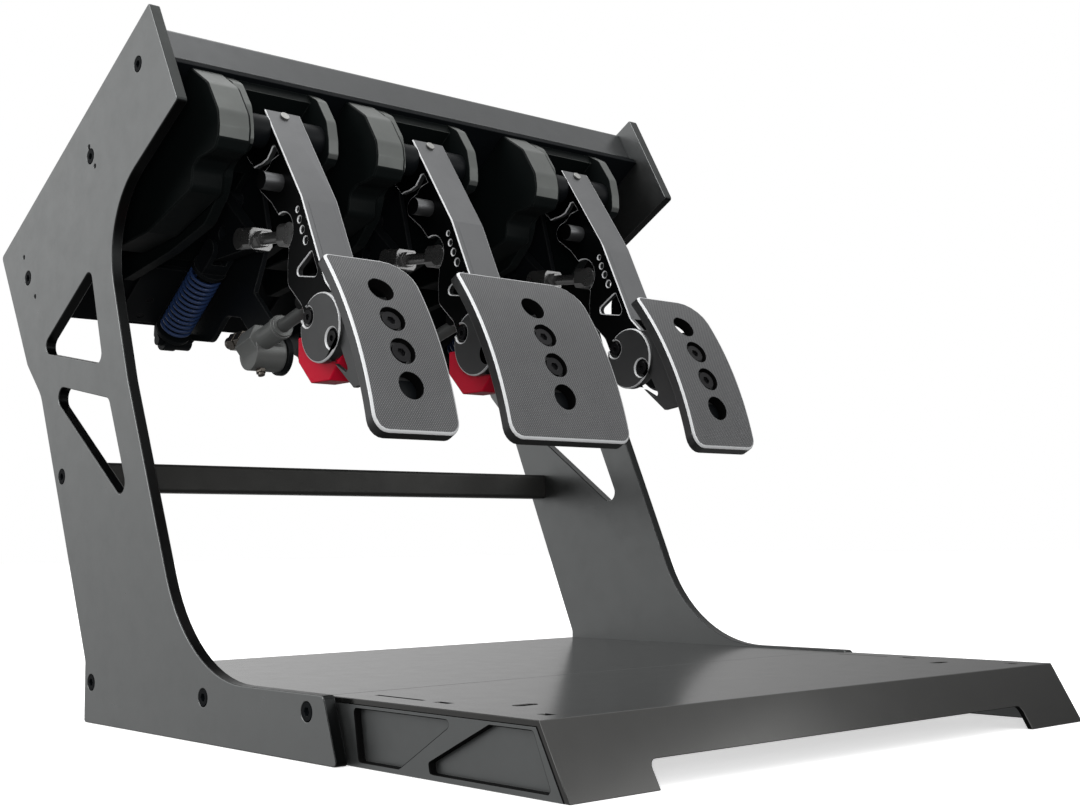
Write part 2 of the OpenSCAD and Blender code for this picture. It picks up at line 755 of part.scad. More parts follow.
// Socket screws of one pedal: pad, bracket discs and the top of the arm
module pedal_screws(x) {
  color([0.1, 0.1, 0.11]) {
    for (a = [pad_holes[1], pad_holes[2]]) on_pad(x, a) difference() {
      union() {
        translate([0, 0, -5]) cylinder(r = 6.5, h = 3.4, $fn = small);
        translate([0, 0, -pad_t - 5]) cylinder(r = screw_r, h = pad_t + 1, $fn = small);
      }
      translate([0, 0, -3.5]) cylinder(r = 3, h = 4, $fn = 6);
    }
    for (m = [0, 1], p = disc_screws()) translate([x, 0, 0]) mirror([m, 0, 0]) difference() {
      union() {
        across(disc_out - 4, 4, p, 4.5, small);
        across(arm_w / 2 - cheek_t + 0.4, cheek_t + 2, p, 2.5, small);
      }
      pedal_plate(disc_out - 2, 2 + over) translate(p) circle(r = 2.2, $fn = 6);
    }
    spine_screw(x) {
      translate([0, 0, -4.5]) cylinder(r = 2, h = 5.5, $fn = small);
      cylinder(r = 3.2, h = 1.4, $fn = small);
    }
  }
}

// Red polyurethane block between the lower ends of the cheeks
module bumper(x) {
  mid = [63, -147];
  apothem = 25.5;
  half = arm_w / 2 - cheek_t - 0.3;
  color("crimson") pedal_plate(x - half, 2 * half) intersection() {
    translate(mid) rotate(22.5) circle(r = apothem / cos(22.5), $fn = 8);
    translate(mid + [-40, -40]) square([80, 45]);
  }
}

// Adjustable push link with a fork at each end and a locknut beside each fork
module link(x) {
  len = norm(arm_eye - rocker_front);
  aim_deg = atan2(arm_eye[1] - rocker_front[1], arm_eye[0] - rocker_front[0]);
  color("silver") {
    difference() {
      aim(x, rocker_front, aim_deg) {
        for (end = [0, 1]) translate([0, 0, end * len]) mirror([0, 0, end]) {
          rotate([0, 90, 0]) difference() {
            union() {
              translate([0, 0, -9.2]) cylinder(r = 7.5, h = 18.4, $fn = fine);
              intersection() {
                translate([-15, -7.5, -9.2]) cube([15, 15, 18.4]);
                translate([-15, 0, 0]) rotate([0, 90, 0]) cylinder(r = 10.2, h = 15, $fn = fine);
              }
            }
            translate([0, 0, -5.2]) cylinder(r = 10.5, h = 10.4, $fn = fine);
          }
          translate([0, 0, 14.5]) cylinder(r = 6, h = 5, $fn = 6);
        }
        translate([0, 0, 13]) cylinder(r = 4, h = len - 26, $fn = small);
      }
    }
    for (p = [arm_eye, rocker_front]) across(x - 9, 18, p, small_pin_r);
  }
}

// Three-cornered lever between link and coil-over
module rocker(x) {
  color([0.3, 0.3, 0.31]) pedal_plate(x - 5, 10) difference() {
    polygon(outline(grown([rocker_pin, rocker_front, rocker_rear], 7.4)));
    translate(rocker_pin) circle(r = frame_pin_r + fit, $fn = fine);
    for (p = [rocker_front, rocker_rear]) translate(p) circle(r = loose_hole_r, $fn = fine);
    translate((rocker_pin + rocker_front + rocker_rear) / 3 + [-1, -3])
      circle(r = 5, $fn = small);
  }
}

// Upper half of the coil-over: fork, spring seat and rod
module spring_rod(x) {
  color([0.25, 0.25, 0.26]) {
    aim(x, cup_pin, cup_aim) {
      translate([0, 0, cup_reach]) rotate([0, 90, 0]) difference() {
        union() {
          translate([0, 0, -9.2]) cylinder(r = 7.5, h = 18.4, $fn = fine);
          translate([0, -7.5, -9.2]) cube([cup_reach - spring_high - 3, 15, 18.4]);
        }
        translate([0, 0, -5.2]) cylinder(r = 10, h = 10.4, $fn = fine);
      }
      translate([0, 0, spring_high]) cylinder(r = spring_d / 2 + 0.6, h = 3.5, $fn = fine);
      translate([0, 0, 30]) cylinder(r = 5, h = spring_high - 29, $fn = small);
    }
    across(x - 9, 18, rocker_rear, small_pin_r);
  }
}

// Lower half of the coil-over: eye, spring seat and guide tube
module spring_cup(x) {
  color([0.09, 0.09, 0.1]) difference() {
    union() {
      across(x - 5, 10, cup_pin, 7.5);
      aim(x, cup_pin, cup_aim) {
        translate([-4.5, -6, 0]) cube([9, 12, 10]);
        translate([0, 0, 9]) cylinder(r = spring_d / 2 + 1, h = spring_low - 9, $fn = fine);
        translate([0, 0, 9]) cylinder(r = 7.6, h = 37, $fn = fine);
      }
    }
    across(x - 9, 18, cup_pin, frame_pin_r + fit);
    aim(x, cup_pin, cup_aim) translate([0, 0, 14]) cylinder(r = 5 + fit, h = 40, $fn = small);
  }
}

// Path of the coil: it leaves the lower seat square, winds up evenly, and meets the upper seat square
rings_per_curl = 8;
coil_rings = spring_curls * rings_per_curl;
coil_length = spring_high - spring_low - 2 * fit;
coil_rise = coil_length - 2 * wire_d;

function coil_at(a, z) = [coil_r * cos(a), coil_r * sin(a), z];

function coil_path() = [
  coil_at(0, 0),
  coil_at(0, wire_d),
  coil_at(20, wire_d + coil_rise / coil_rings / 2),
  each [for (i = [1:coil_rings - 1])
    coil_at(i * 360 / rings_per_curl, wire_d + coil_rise * i / coil_rings)],
  coil_at(-20, coil_length - wire_d - coil_rise / coil_rings / 2),
  coil_at(0, coil_length - wire_d),
  coil_at(0, coil_length)];

module tube(path, r) {
  n = len(path);
  sides = 6;
  ring = [for (i = [0:n - 1])
    let (
      t = unit(path[min(i + 1, n - 1)] - path[max(i - 1, 0)]),
      out = unit([path[i][0], path[i][1], 0]),
      rad = unit(out - (out * t) * t),
      up = cross(t, rad)
    )
    each [for (k = [0:sides - 1]) path[i] + r * (cos(k * 60) * rad + sin(k * 60) * up)]];
  walls = [for (i = [0:n - 2], k = [0:sides - 1])
    let (a = i * sides + k, b = i * sides + (k + 1) % sides)
    each [[a, b, a + sides], [b, b + sides, a + sides]]];
  last = (n - 1) * sides;
  caps = [for (k = [1:sides - 2])
    each [[0, k + 1, k], [last, last + k, last + k + 1]]];
  polyhedron(points = ring, faces = [each walls, each caps]);
}

function least_gap(path) = min([for (i = [0:len(path) - 1], j = [i + 6:1:len(path) - 1])
  norm(path[i] - path[j])]) - wire_d;

echo(least_coil_gap = least_gap(coil_path()));

module spring(x) {
  color("royalblue") aim(x, cup_pin, cup_aim) translate([0, 0, spring_low + fit])
    tube(coil_path(), wire_r);
}

// Pieces

left_side_plate();
right_side_plate();
top_cover();
pedal_deck();
crossbar();
rear_floor();
front_floor();
left_rail();
right_rail();
frame_fasteners();
module_bolts();
hydraulic_fittings();
pivot_pins();

yoke(clutch_x);  // clutch_yoke
sensor_block(clutch_x);  // clutch_sensor_block
pivot_bushes(clutch_x);  // clutch_pivot_bushes
arm(clutch_x, true);  // clutch_arm
pad_bracket(clutch_x);  // clutch_pad_bracket
pad(clutch_x, clutch_pad_w);  // clutch_pad
pedal_screws(clutch_x);  // clutch_pedal_screws
link(clutch_x);  // clutch_link
rocker(clutch_x);  // clutch_rocker
damper_frame(clutch_x, true);  // clutch_damper_frame
spring_rod(clutch_x);  // clutch_spring_rod
spring(clutch_x);  // clutch_spring
spring_cup(clutch_x);  // clutch_spring_cup
cylinder_body(clutch_x);  // clutch_cylinder
cylinder_rod(clutch_x);  // clutch_cylinder_rod
bumper(clutch_x);  // clutch_bumper

yoke(brake_x);  // brake_yoke
sensor_block(brake_x);  // brake_sensor_block
pivot_bushes(brake_x);  // brake_pivot_bushes
arm(brake_x, true);  // brake_arm
pad_bracket(brake_x);  // brake_pad_bracket
pad(brake_x, brake_pad_w);  // brake_pad
pedal_screws(brake_x);  // brake_pedal_screws
link(brake_x);  // brake_link
rocker(brake_x);  // brake_rocker
damper_frame(brake_x, true);  // brake_damper_frame
spring_rod(brake_x);  // brake_spring_rod
spring(brake_x);  // brake_spring
spring_cup(brake_x);  // brake_spring_cup
cylinder_body(brake_x);  // brake_cylinder
cylinder_rod(brake_x);  // brake_cylinder_rod
bumper(brake_x);  // brake_bumper

yoke(throttle_x);  // throttle_yoke
sensor_block(throttle_x);  // throttle_sensor_block
pivot_bushes(throttle_x);  // throttle_pivot_bushes
arm(throttle_x, false);  // throttle_arm
pad_bracket(throttle_x);  // throttle_pad_bracket
pad(throttle_x, throttle_pad_w);  // throttle_pad
pedal_screws(throttle_x);  // throttle_pedal_screws
link(throttle_x);  // throttle_link
rocker(throttle_x);  // throttle_rocker
damper_frame(throttle_x, false);  // throttle_damper_frame
spring_rod(throttle_x);  // throttle_spring_rod
spring(throttle_x);  // throttle_spring
spring_cup(throttle_x);  // throttle_spring_cup
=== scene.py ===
"""Looks for a hanging sim racing pedal set: three pedals under a sloping head on a cut steel stand.

The solids come packed, in metres, with +Z up and the driver on the -Y side. This script keeps their
places and sizes. It gives each piece rounded edges and a finish, lays out the pads' grip, winds the
coil springs, and adds the tongue of each bracket that closes the pad's lowest hole from behind.
"""

import json
import logging
import math
from dataclasses import dataclass, field
from enum import Enum

import bmesh
import bpy
import numpy as np
from mathutils import Matrix, Vector

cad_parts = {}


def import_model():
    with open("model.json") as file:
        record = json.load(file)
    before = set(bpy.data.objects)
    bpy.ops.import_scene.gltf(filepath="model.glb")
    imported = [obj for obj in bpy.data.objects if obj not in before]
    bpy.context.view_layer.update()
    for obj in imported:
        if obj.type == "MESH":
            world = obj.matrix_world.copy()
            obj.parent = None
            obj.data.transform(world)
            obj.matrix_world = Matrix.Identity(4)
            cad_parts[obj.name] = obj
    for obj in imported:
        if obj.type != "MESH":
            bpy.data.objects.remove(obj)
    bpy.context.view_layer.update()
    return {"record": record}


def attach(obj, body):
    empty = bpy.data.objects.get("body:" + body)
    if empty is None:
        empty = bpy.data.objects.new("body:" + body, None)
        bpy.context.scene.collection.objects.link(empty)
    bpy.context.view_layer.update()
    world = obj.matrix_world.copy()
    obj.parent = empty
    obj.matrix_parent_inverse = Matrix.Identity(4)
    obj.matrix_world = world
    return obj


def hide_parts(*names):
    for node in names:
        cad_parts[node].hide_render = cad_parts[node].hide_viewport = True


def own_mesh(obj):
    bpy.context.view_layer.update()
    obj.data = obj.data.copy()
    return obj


LOG = logging.getLogger("pedal_set")
MM = 0.001

# Points nearer than WELD are one, faces that turn less than FLAT are one, and an edge that turns
# more than SHARP is rounded. A wire's edges look smooth up to WIRE_SHARP.
WELD = 0.000002
FLAT = math.radians(0.6)
SHARP = math.radians(32)
WIRE_SHARP = math.radians(40)

# How much more a large face bends the shading than a small one.
FACE_PULL = 90

# The middle of the pads' arc, in Y and Z from the pedal's pivot.
PAD_ARC = (89.6 * MM, -262.1 * MM)

UP = (0.0, 0.0, 1.0)
WHITE = (1.0, 1.0, 1.0, 1.0)

Pair = tuple[float, float]
Triple = tuple[float, float, float]
Array = np.ndarray
Socket = bpy.types.NodeSocket
Mesh = bpy.types.Mesh
Piece = bpy.types.Object


class Pedal(Enum):
    """The three pedals, named as a driver names them."""

    CLUTCH = "clutch"
    BRAKE = "brake"
    THROTTLE = "throttle"


class Relief(Enum):
    """What the small relief of a finish follows."""

    PAINT = "paint"
    BRUSHED = "brushed"
    MOULDED = "moulded"
    GRIP = "grip"


# Node graphs


def set_inputs(node: bpy.types.Node, **values: object) -> None:
    """Sets input sockets by name, with underscores for spaces.

    Args:
        node: The node whose sockets are set.
        values: Socket names and default values.
    """
    for key, value in values.items():
        node.inputs[key.replace("_", " ")].default_value = value


@dataclass(frozen=True)
class Cloud:
    """A cloudy pattern: its scale, how many layers it has and how strong the finer ones are."""

    scale: float
    detail: float
    roughness: float = 0.5


@dataclass
class Graph:
    """The node tree of a finish or of the sky, with short ways to add to it."""

    tree: bpy.types.NodeTree

    def __post_init__(self) -> None:
        """Adds the node that gives the places on a surface and the directions in the sky."""
        self.spot = self.add("TexCoord")

    def add(self, kind: str, **settings: object) -> bpy.types.Node:
        """Adds a shader node and sets its properties.

        Args:
            kind: The node's type name without the ShaderNode prefix.
            settings: Properties of the node.

        Returns:
            The new node.
        """
        node = self.tree.nodes.new("ShaderNode" + kind)
        for key, value in settings.items():
            setattr(node, key, value)
        return node

    def link(self, value: Socket | Triple, target: Socket) -> None:
        """Gives an input its value.

        Args:
            value: Another node's output, or a plain vector or opaque colour.
            target: The input.
        """
        if isinstance(value, tuple):
            target.default_value = (*value, 1.0)[: len(target.default_value)]
        else:
            self.tree.links.new(value, target)

    def mix(self, amount: Socket, first: Socket | Triple, second: Socket | Triple) -> Socket:
        """Mixes two colours, each of them plain or worked out by other nodes.

        Args:
            amount: The second colour's share.
            first: The colour where the amount is 0.
            second: The colour where the amount is 1.

        Returns:
            The mixed colour.
        """
        node = self.add("Mix", data_type="RGBA")
        for value, number in ((amount, 0), (first, 6), (second, 7)):
            self.link(value, node.inputs[number])
        return node.outputs[2]

    def combine(self, operation: str, *values: Socket) -> Socket:
        """Works out one number from one or two.

        Args:
            operation: What is done with them, such as MULTIPLY.
            values: The numbers.

        Returns:
            The result.
        """
        node = self.add("Math", operation=operation)
        for value, socket in zip(values, node.inputs):
            self.link(value, socket)
        return node.outputs[0]

    def cosine(self, first: Socket, second: Socket | Triple) -> Socket:
        """Works out the cosine between two unit directions.

        Args:
            first: One direction.
            second: The other, plain or worked out by other nodes.

        Returns:
            The cosine.
        """
        node = self.add("VectorMath", operation="DOT_PRODUCT")
        self.link(first, node.inputs[0])
        self.link(second, node.inputs[1])
        return node.outputs["Value"]

    def remap(
        self,
        value: Socket,
        start: Pair = (0.0, 1.0),
        end: Pair = (0.0, 1.0),
        kind: str = "LINEAR",
    ) -> Socket:
        """Carries a number from one span to another and holds it within the second.

        Args:
            value: The number.
            start: The span that it is read in.
            end: The span that it is carried to.
            kind: How it runs from end to end.

        Returns:
            The result.
        """
        node = self.add("MapRange", interpolation_type=kind)
        set_inputs(node, From_Min=start[0], From_Max=start[1], To_Min=end[0], To_Max=end[1])
        self.link(value, node.inputs["Value"])
        return node.outputs["Result"]

    def cloud(self, look: Cloud, places: Socket | None = None) -> Socket:
        """Draws a cloudy pattern.

        Args:
            look: The pattern.
            places: The places that it is drawn at, the object's own if none are given.

        Returns:
            The pattern's value, from 0 to 1.
        """
        node = self.add("TexNoise")
        set_inputs(node, Scale=look.scale, Detail=look.detail, Roughness=look.roughness)
        self.link(self.spot.outputs["Object"] if places is None else places, node.inputs["Vector"])
        return node.outputs["Fac"]


# The slow change of tone, the patches of edge colour, part wear and part painted highlight, and the
# smears of handling. The spans say where in a pattern the edge colour and the smears start and end.
TONE_CLOUD = Cloud(22.0, 5.0, 0.6)
WEAR_AND_HIGHLIGHT_CLOUD = Cloud(130.0, 3.0)
WEAR_AND_HIGHLIGHT_SPAN = (0.25, 0.6)
WEAR_AND_HIGHLIGHT_SHARE = (0.45, 1.0)
SMEAR_CLOUD = Cloud(60.0, 6.0, 0.7)
SMEAR_SPAN = (0.3, 0.7)
LEAST_ROUGHNESS = 0.05

# The grain's finer layers, how far brushing draws it out along X, and the slant of the grip.
PAINT_DETAIL = 4.0
MOULDED_DETAIL = 2.0
BRUSHED_DRAW = 0.06
GRIP_SLANT = math.radians(38)
BUMP_STRENGTH = 0.6

# The X of a normal that turns from front to flank, and the cosines between a rounded normal and the
# true one, from an edge to the open face.
FLANK_TURN = (0.35, 0.9)
EDGE_TURN = (0.9, 0.995)
EDGE_SAMPLES = 4


@dataclass(frozen=True)
class Finish:
    """A surface: its colour, gloss, small relief and the colour at its edges, part worn metal and
    part painted highlight.
    """

    name: str
    colour: Triple
    roughness: float
    metallic: float = 0.0
    relief: Relief = Relief.PAINT
    relief_size: float = 900.0
    relief_depth: float = 0.00002
    mottle: float = 0.12
    edge_colour: Triple | None = None
    edge_width: float = 0.0006
    shine: float = 0.5
    smear: float = 0.06
    groove_tone: float = 0.35
    flank_colour: Triple | None = None

    def material(self) -> bpy.types.Material:
        """Returns the material of this finish, made once."""
        found = bpy.data.materials.get(self.name)
        return found or self._build()

    def _build(self) -> bpy.types.Material:
        """Builds the node graph.

        Returns:
            The new material.
        """
        made = bpy.data.materials.new(self.name)
        made.use_nodes = True
        graph = Graph(made.node_tree)
        shader = made.node_tree.nodes["Principled BSDF"]
        set_inputs(shader, Metallic=self.metallic, Specular_IOR_Level=self.shine)
        colour = self._tone(graph)
        if self.edge_colour is not None:
            colour = self._edge_wear_and_highlight(graph, colour)
        graph.link(colour, shader.inputs["Base Color"])
        graph.link(self._gloss(graph), shader.inputs["Roughness"])
        graph.link(self._bump(graph), shader.inputs["Normal"])
        return made

    def _tone(self, graph: Graph) -> Socket:
        """Mixes the colour with a little cloudy variation.

        The grip's grooves are darker at their bottoms, where dust and shade collect, and the flanks
        have their own colour where the finish gives one.

        Args:
            graph: The material's nodes.

        Returns:
            The colour.
        """
        low = tuple(c * (1 - self.mottle) for c in self.colour)
        high = tuple(min(1.0, c * (1 + self.mottle)) for c in self.colour)
        tone = graph.mix(graph.cloud(TONE_CLOUD), low, high)
        if self.relief is Relief.GRIP:
            dark = tuple(c * self.groove_tone for c in self.colour)
            return graph.mix(self._grip_height(graph), dark, tone)
        return tone if self.flank_colour is None else self._flank(graph, tone)

    def _flank(self, graph: Graph, rest: Socket) -> Socket:
        """Gives the faces that look along X, the broad ones of upright sheets, their own colour.

        Args:
            graph: The material's nodes.
            rest: The colour of all other faces.

        Returns:
            The mixed colour.
        """
        split = graph.add("SeparateXYZ")
        graph.link(graph.add("NewGeometry").outputs["True Normal"], split.inputs["Vector"])
        size = graph.combine("ABSOLUTE", split.outputs["X"])
        return graph.mix(graph.remap(size, FLANK_TURN), rest, self.flank_colour)

    def _edge_wear_and_highlight(self, graph: Graph, colour: Socket) -> Socket:
        """Shows the edge colour, part wear and part painted highlight, where the rounded normal
        leaves the true one, in uneven patches.

        Args:
            graph: The material's nodes.
            colour: The colour away from the edges.

        Returns:
            The mixed colour.
        """
        rounded = graph.add("Bevel", samples=EDGE_SAMPLES)
        set_inputs(rounded, Radius=self.edge_width)
        true = graph.add("NewGeometry").outputs["Normal"]
        turn = graph.cosine(rounded.outputs["Normal"], true)
        near = graph.remap(turn, EDGE_TURN, (1.0, 0.0))
        patch = graph.remap(graph.cloud(WEAR_AND_HIGHLIGHT_CLOUD), WEAR_AND_HIGHLIGHT_SPAN, WEAR_AND_HIGHLIGHT_SHARE)
        return graph.mix(graph.combine("MULTIPLY", near, patch), colour, self.edge_colour)

    def _gloss(self, graph: Graph) -> Socket:
        """Varies the roughness slightly, as handling does.

        Args:
            graph: The material's nodes.

        Returns:
            The roughness.
        """
        low = max(LEAST_ROUGHNESS, self.roughness - self.smear)
        high = min(1.0, self.roughness + self.smear)
        return graph.remap(graph.cloud(SMEAR_CLOUD), SMEAR_SPAN, (low, high))

    def _bump(self, graph: Graph) -> Socket:
        """Turns the finish's relief into a bumped normal.

        Args:
            graph: The material's nodes.

        Returns:
            The normal.
        """
        bump = graph.add("Bump")
        set_inputs(bump, Strength=BUMP_STRENGTH, Distance=self.relief_depth)
        grip = self.relief is Relief.GRIP
        height = self._grip_height(graph) if grip else self._grain_height(graph)
        graph.link(height, bump.inputs["Height"])
        return bump.outputs["Normal"]

    def _grain_height(self, graph: Graph) -> Socket:
        """Grain of paint or moulding, drawn out along X on brushed metal.

        Args:
            graph: The material's nodes.

        Returns:
            The height.
        """
        stretch = graph.add("Mapping")
        drawn = BRUSHED_DRAW if self.relief is Relief.BRUSHED else 1.0
        set_inputs(stretch, Scale=(drawn, 1.0, 1.0))
        graph.link(graph.spot.outputs["Object"], stretch.inputs["Vector"])
        detail = MOULDED_DETAIL if self.relief is Relief.MOULDED else PAINT_DETAIL
        return graph.cloud(Cloud(self.relief_size, detail), stretch.outputs["Vector"])

    def _grip_height(self, graph: Graph) -> Socket:
        """Two crossing sets of fine slanting grooves over the pad's own width and length.

        Args:
            graph: The material's nodes.

        Returns:
            The height.
        """
        heights = []
        for slant in (GRIP_SLANT, -GRIP_SLANT):
            turn = graph.add("Mapping")
            set_inputs(turn, Rotation=(0.0, 0.0, slant))
            graph.link(graph.spot.outputs["UV"], turn.inputs["Vector"])
            groove = graph.add("TexWave", wave_type="BANDS", bands_direction="X")
            set_inputs(groove, Scale=self.relief_size, Distortion=0.0)
            graph.link(turn.outputs["Vector"], groove.inputs["Vector"])
            heights.append(groove.outputs["Fac"])
        return graph.combine("MINIMUM", *heights)


# Finishes: name, colour, roughness and metallic share, then what differs from the usual

SILVER = (0.72, 0.73, 0.74)
# Edge colour of the painted sheets: part wear, part painted highlight along their edges.
EDGE_WEAR_AND_HIGHLIGHT = (0.3, 0.31, 0.31)

FRAME_GREY = Finish(
    "frame_grey", (0.018, 0.019, 0.019), 0.33, 0.95, mottle=0.08, edge_colour=EDGE_WEAR_AND_HIGHLIGHT,
    flank_colour=(0.222, 0.229, 0.229), shine=0.25,
)
COVER_GREY = Finish(
    "cover_grey", (0.105, 0.108, 0.11), 0.38, 0.95, mottle=0.05, edge_colour=EDGE_WEAR_AND_HIGHLIGHT, shine=0.25
)
# Painted highlight: grey for the side plates' cut edge where it faces forward and up at the head.
HEAD_EDGE_HIGHLIGHT = Finish("edge_grey", (0.045, 0.048, 0.047), 0.38, 0.95, mottle=0.08, shine=0.25)
FLOOR_GREY = Finish(
    "floor_grey", (0.085, 0.085, 0.083), 0.15, 0.95, mottle=0.06, relief_depth=0.000002,
    smear=0.015,
)
# Painted shade: black for the walls of holes, slots and pockets and for the rails' edges.
HOLE_SHADE = Finish("hole_black", (0.003, 0.003, 0.003), 0.6, relief=Relief.MOULDED, shine=0.05)
RAIL_GREY = Finish(
    "rail_grey", (0.2, 0.208, 0.208), 0.42, 0.95, mottle=0.06, edge_colour=EDGE_WEAR_AND_HIGHLIGHT, shine=0.25
)
DECK_BLACK = Finish("deck_black", (0.004, 0.005, 0.006), 0.6, mottle=0.2, shine=0.08)
BAR_BLACK = Finish("bar_black", (0.045, 0.045, 0.043), 0.4, 0.5, mottle=0.1, shine=0.25)
YOKE_BLACK = Finish(
    "yoke_black", (0.004, 0.0055, 0.0055), 0.5, mottle=0.15, edge_colour=(0.04, 0.045, 0.043),
    shine=0.1,
)
FRAME_BLACK = Finish(
    "machined_black", (0.005, 0.006, 0.007), 0.45, 0.1, mottle=0.15,
    edge_colour=(0.04, 0.04, 0.04), shine=0.15,
)
CYLINDER_BLACK = Finish(
    "cylinder_black", (0.19, 0.197, 0.193), 0.38, 0.5, mottle=0.1, edge_colour=(0.2, 0.2, 0.2),
    shine=0.3,
)
HOUSING_BLACK = Finish(
    "housing_black", (0.005, 0.006, 0.007), 0.5, relief=Relief.MOULDED, relief_size=1400.0,
    shine=0.15,
)
ARM_GREY = Finish(
    "arm_grey", (0.165, 0.168, 0.172), 0.42, 0.9, relief=Relief.BRUSHED, mottle=0.05,
    flank_colour=(0.008, 0.0085, 0.009), shine=0.2,
)
BRACKET_GREY = Finish(
    "bracket_grey", (0.125, 0.127, 0.129), 0.45, 0.9, relief=Relief.BRUSHED, mottle=0.05,
    shine=0.25,
)
PAD_FACE = Finish(
    "pad_face", (0.242, 0.245, 0.25), 0.46, 0.9, relief=Relief.GRIP, relief_size=240.0,
    relief_depth=0.0002, mottle=0.08,
)
PAD_SIDE = Finish(
    "pad_side", (0.12, 0.122, 0.124), 0.42, 0.9, relief=Relief.BRUSHED, mottle=0.06, shine=0.25
)
FITTING_METAL = Finish(
    "fitting_metal", (0.14, 0.125, 0.11), 0.28, 0.9, relief=Relief.BRUSHED,
    edge_colour=(0.5, 0.46, 0.4), edge_width=0.0003,
)
# Painted highlight: grey on the upper fronts of the black yoke and sensor block and on the lip
# under the yoke's base, brighter at the edges.
LEG_HIGHLIGHT = Finish(
    "leg_grey", (0.13, 0.137, 0.132), 0.45, 0.8, mottle=0.1, edge_colour=(0.22, 0.23, 0.22),
    shine=0.25,
)
SILVER_EDGE = Finish("silver_edge", SILVER, 0.35, 0.25, relief=Relief.BRUSHED, mottle=0.05)
BRIGHT_STEEL = Finish(
    "polished_steel", (0.3, 0.3, 0.3), 0.28, 0.9, relief=Relief.BRUSHED, mottle=0.25,
    edge_colour=(0.3, 0.3, 0.3), edge_width=0.0003,
)
ROD_GREY = Finish(
    "polished_rod", (0.12, 0.124, 0.122), 0.36, 0.5, relief=Relief.BRUSHED, shine=0.3
)
SCREW_BLACK = Finish(
    "screw_black", (0.006, 0.006, 0.007), 0.35, 0.3, edge_colour=(0.07, 0.07, 0.07),
    edge_width=0.0003, shine=0.2,
)
SCREW_STEEL = Finish(
    "screw_steel", (0.35, 0.35, 0.34), 0.3, 0.9, relief=Relief.BRUSHED,
    edge_colour=(0.6, 0.6, 0.58), edge_width=0.0003,
)
SPRING_BLUE = Finish("coil_blue", (0.02, 0.04, 0.11), 0.3, mottle=0.1, shine=0.9)
RED_RUBBER = Finish(
    "red_rubber", (0.6, 0.005, 0.03), 0.45, relief=Relief.MOULDED, mottle=0.05, shine=0.25
)
STAGE_WHITE = Finish("stage_white", (0.92, 0.92, 0.92), 0.6, mottle=0.004, relief_depth=0.0)


# Meshes


def welded(node: str) -> bmesh.types.BMesh:
    """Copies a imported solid's mesh with its seams joined and its flat faces merged.

    Args:
        node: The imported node's name.

    Returns:
        The open mesh, which the caller frees.
    """
    source = bpy.data.objects[node].data
    work = bmesh.new()
    work.from_mesh(source)
    bmesh.ops.remove_doubles(work, verts=work.verts, dist=WELD)
    bmesh.ops.dissolve_limit(
        work, angle_limit=FLAT, use_dissolve_boundaries=False,
        verts=work.verts, edges=work.edges, delimit={"NORMAL"},
    )
    return work


def read(items: bpy.types.bpy_prop_collection, key: str, wide: int = 1) -> Array:
    """Reads one property of all items of a mesh as an array.

    Args:
        items: Vertices, edges, loops or polygons of a mesh.
        key: The property's name.
        wide: How many numbers each item has.

    Returns:
        An array with a row for each item, or a flat one where wide is 1.
    """
    whole = key.endswith(("index", "vertices", "total"))
    out = np.zeros(len(items) * wide, np.int32 if whole else np.float32)
    items.foreach_get(key, out)
    return out.reshape(-1, wide) if wide > 1 else out


def edge_turns(mesh: Mesh) -> Array:
    """Works out how far the faces at each edge turn.

    Where faces A and B meet, the turn is the angle between their normals. The corner is hollow
    where B's normal points the way that A's surface runs in from the edge, which is the cross
    product of A's normal and the edge's direction round A.

    Args:
        mesh: A mesh whose polygons are stored in the order of their loops.

    Returns:
        Each edge's turn in radians, below zero in a hollow corner and 0 at an open edge.
    """
    total = read(mesh.polygons, "loop_total")
    face = np.repeat(np.arange(len(total)), total)
    start = np.cumsum(total) - total
    follow = np.arange(len(face)) + 1
    follow[start + total - 1] = start
    points = read(mesh.vertices, "co", 3)[read(mesh.loops, "vertex_index")]
    run = points[follow] - points
    edge = read(mesh.loops, "edge_index")
    order = np.argsort(edge, kind="stable")
    count = np.bincount(edge, minlength=len(mesh.edges))
    at = np.cumsum(count) - count
    first = order[at]
    second = order[np.minimum(at + 1, len(order) - 1)]
    normal = read(mesh.polygons, "normal", 3)
    a, b = normal[face[first]], normal[face[second]]
    turn = np.arccos(np.clip((a * b).sum(1), -1, 1))
    hollow = (b * np.cross(a, run[first])).sum(1) > 0
    return np.where(count == 2, np.where(hollow, -turn, turn), 0.0)


def bevel(piece: Piece, width: float, segments: int, weight: Array) -> None:
    """Rounds the edges of a piece by their weights, with flat faces kept flat in their shading.

    Args:
        piece: The object to bevel.
        width: The bevel's width in metres.
        segments: The number of steps across the bevel.
        weight: Each edge's share of the width, 0 for none.
    """
    mesh = piece.data
    layer = mesh.attributes.new("bevel_weight_edge", "FLOAT", "EDGE")
    layer.data.foreach_set("value", weight.astype(np.float32))
    mesh.shade_smooth()
    mesh.set_sharp_from_angle(angle=SHARP)
    step = piece.modifiers.new("edge", "BEVEL")
    step.width = width
    step.segments = segments
    step.limit_method = "WEIGHT"
    step.use_clamp_overlap = False
    step.material = 1
    step.harden_normals = True
    even = piece.modifiers.new("flat", "WEIGHTED_NORMAL")
    even.mode = "FACE_AREA"
    even.weight = FACE_PULL
    even.keep_sharp = True


def finish_mesh(piece: Piece) -> None:
    """Applies the modifiers of a piece.

    Args:
        piece: The object whose mesh is finished.
    """
    bpy.context.view_layer.update()
    graph = bpy.context.evaluated_depsgraph_get()
    mesh = bpy.data.meshes.new_from_object(piece.evaluated_get(graph))
    old = piece.data
    piece.modifiers.clear()
    piece.data = mesh
    bpy.data.meshes.remove(old)


def place(mesh: Mesh, name: str) -> Piece:
    """Links a mesh to the scene as an object at the origin.

    Args:
        mesh: The mesh.
        name: The object's name.

    Returns:
        The object.
    """
    piece = bpy.data.objects.new(name, mesh)
    bpy.context.scene.collection.objects.link(piece)
    return piece


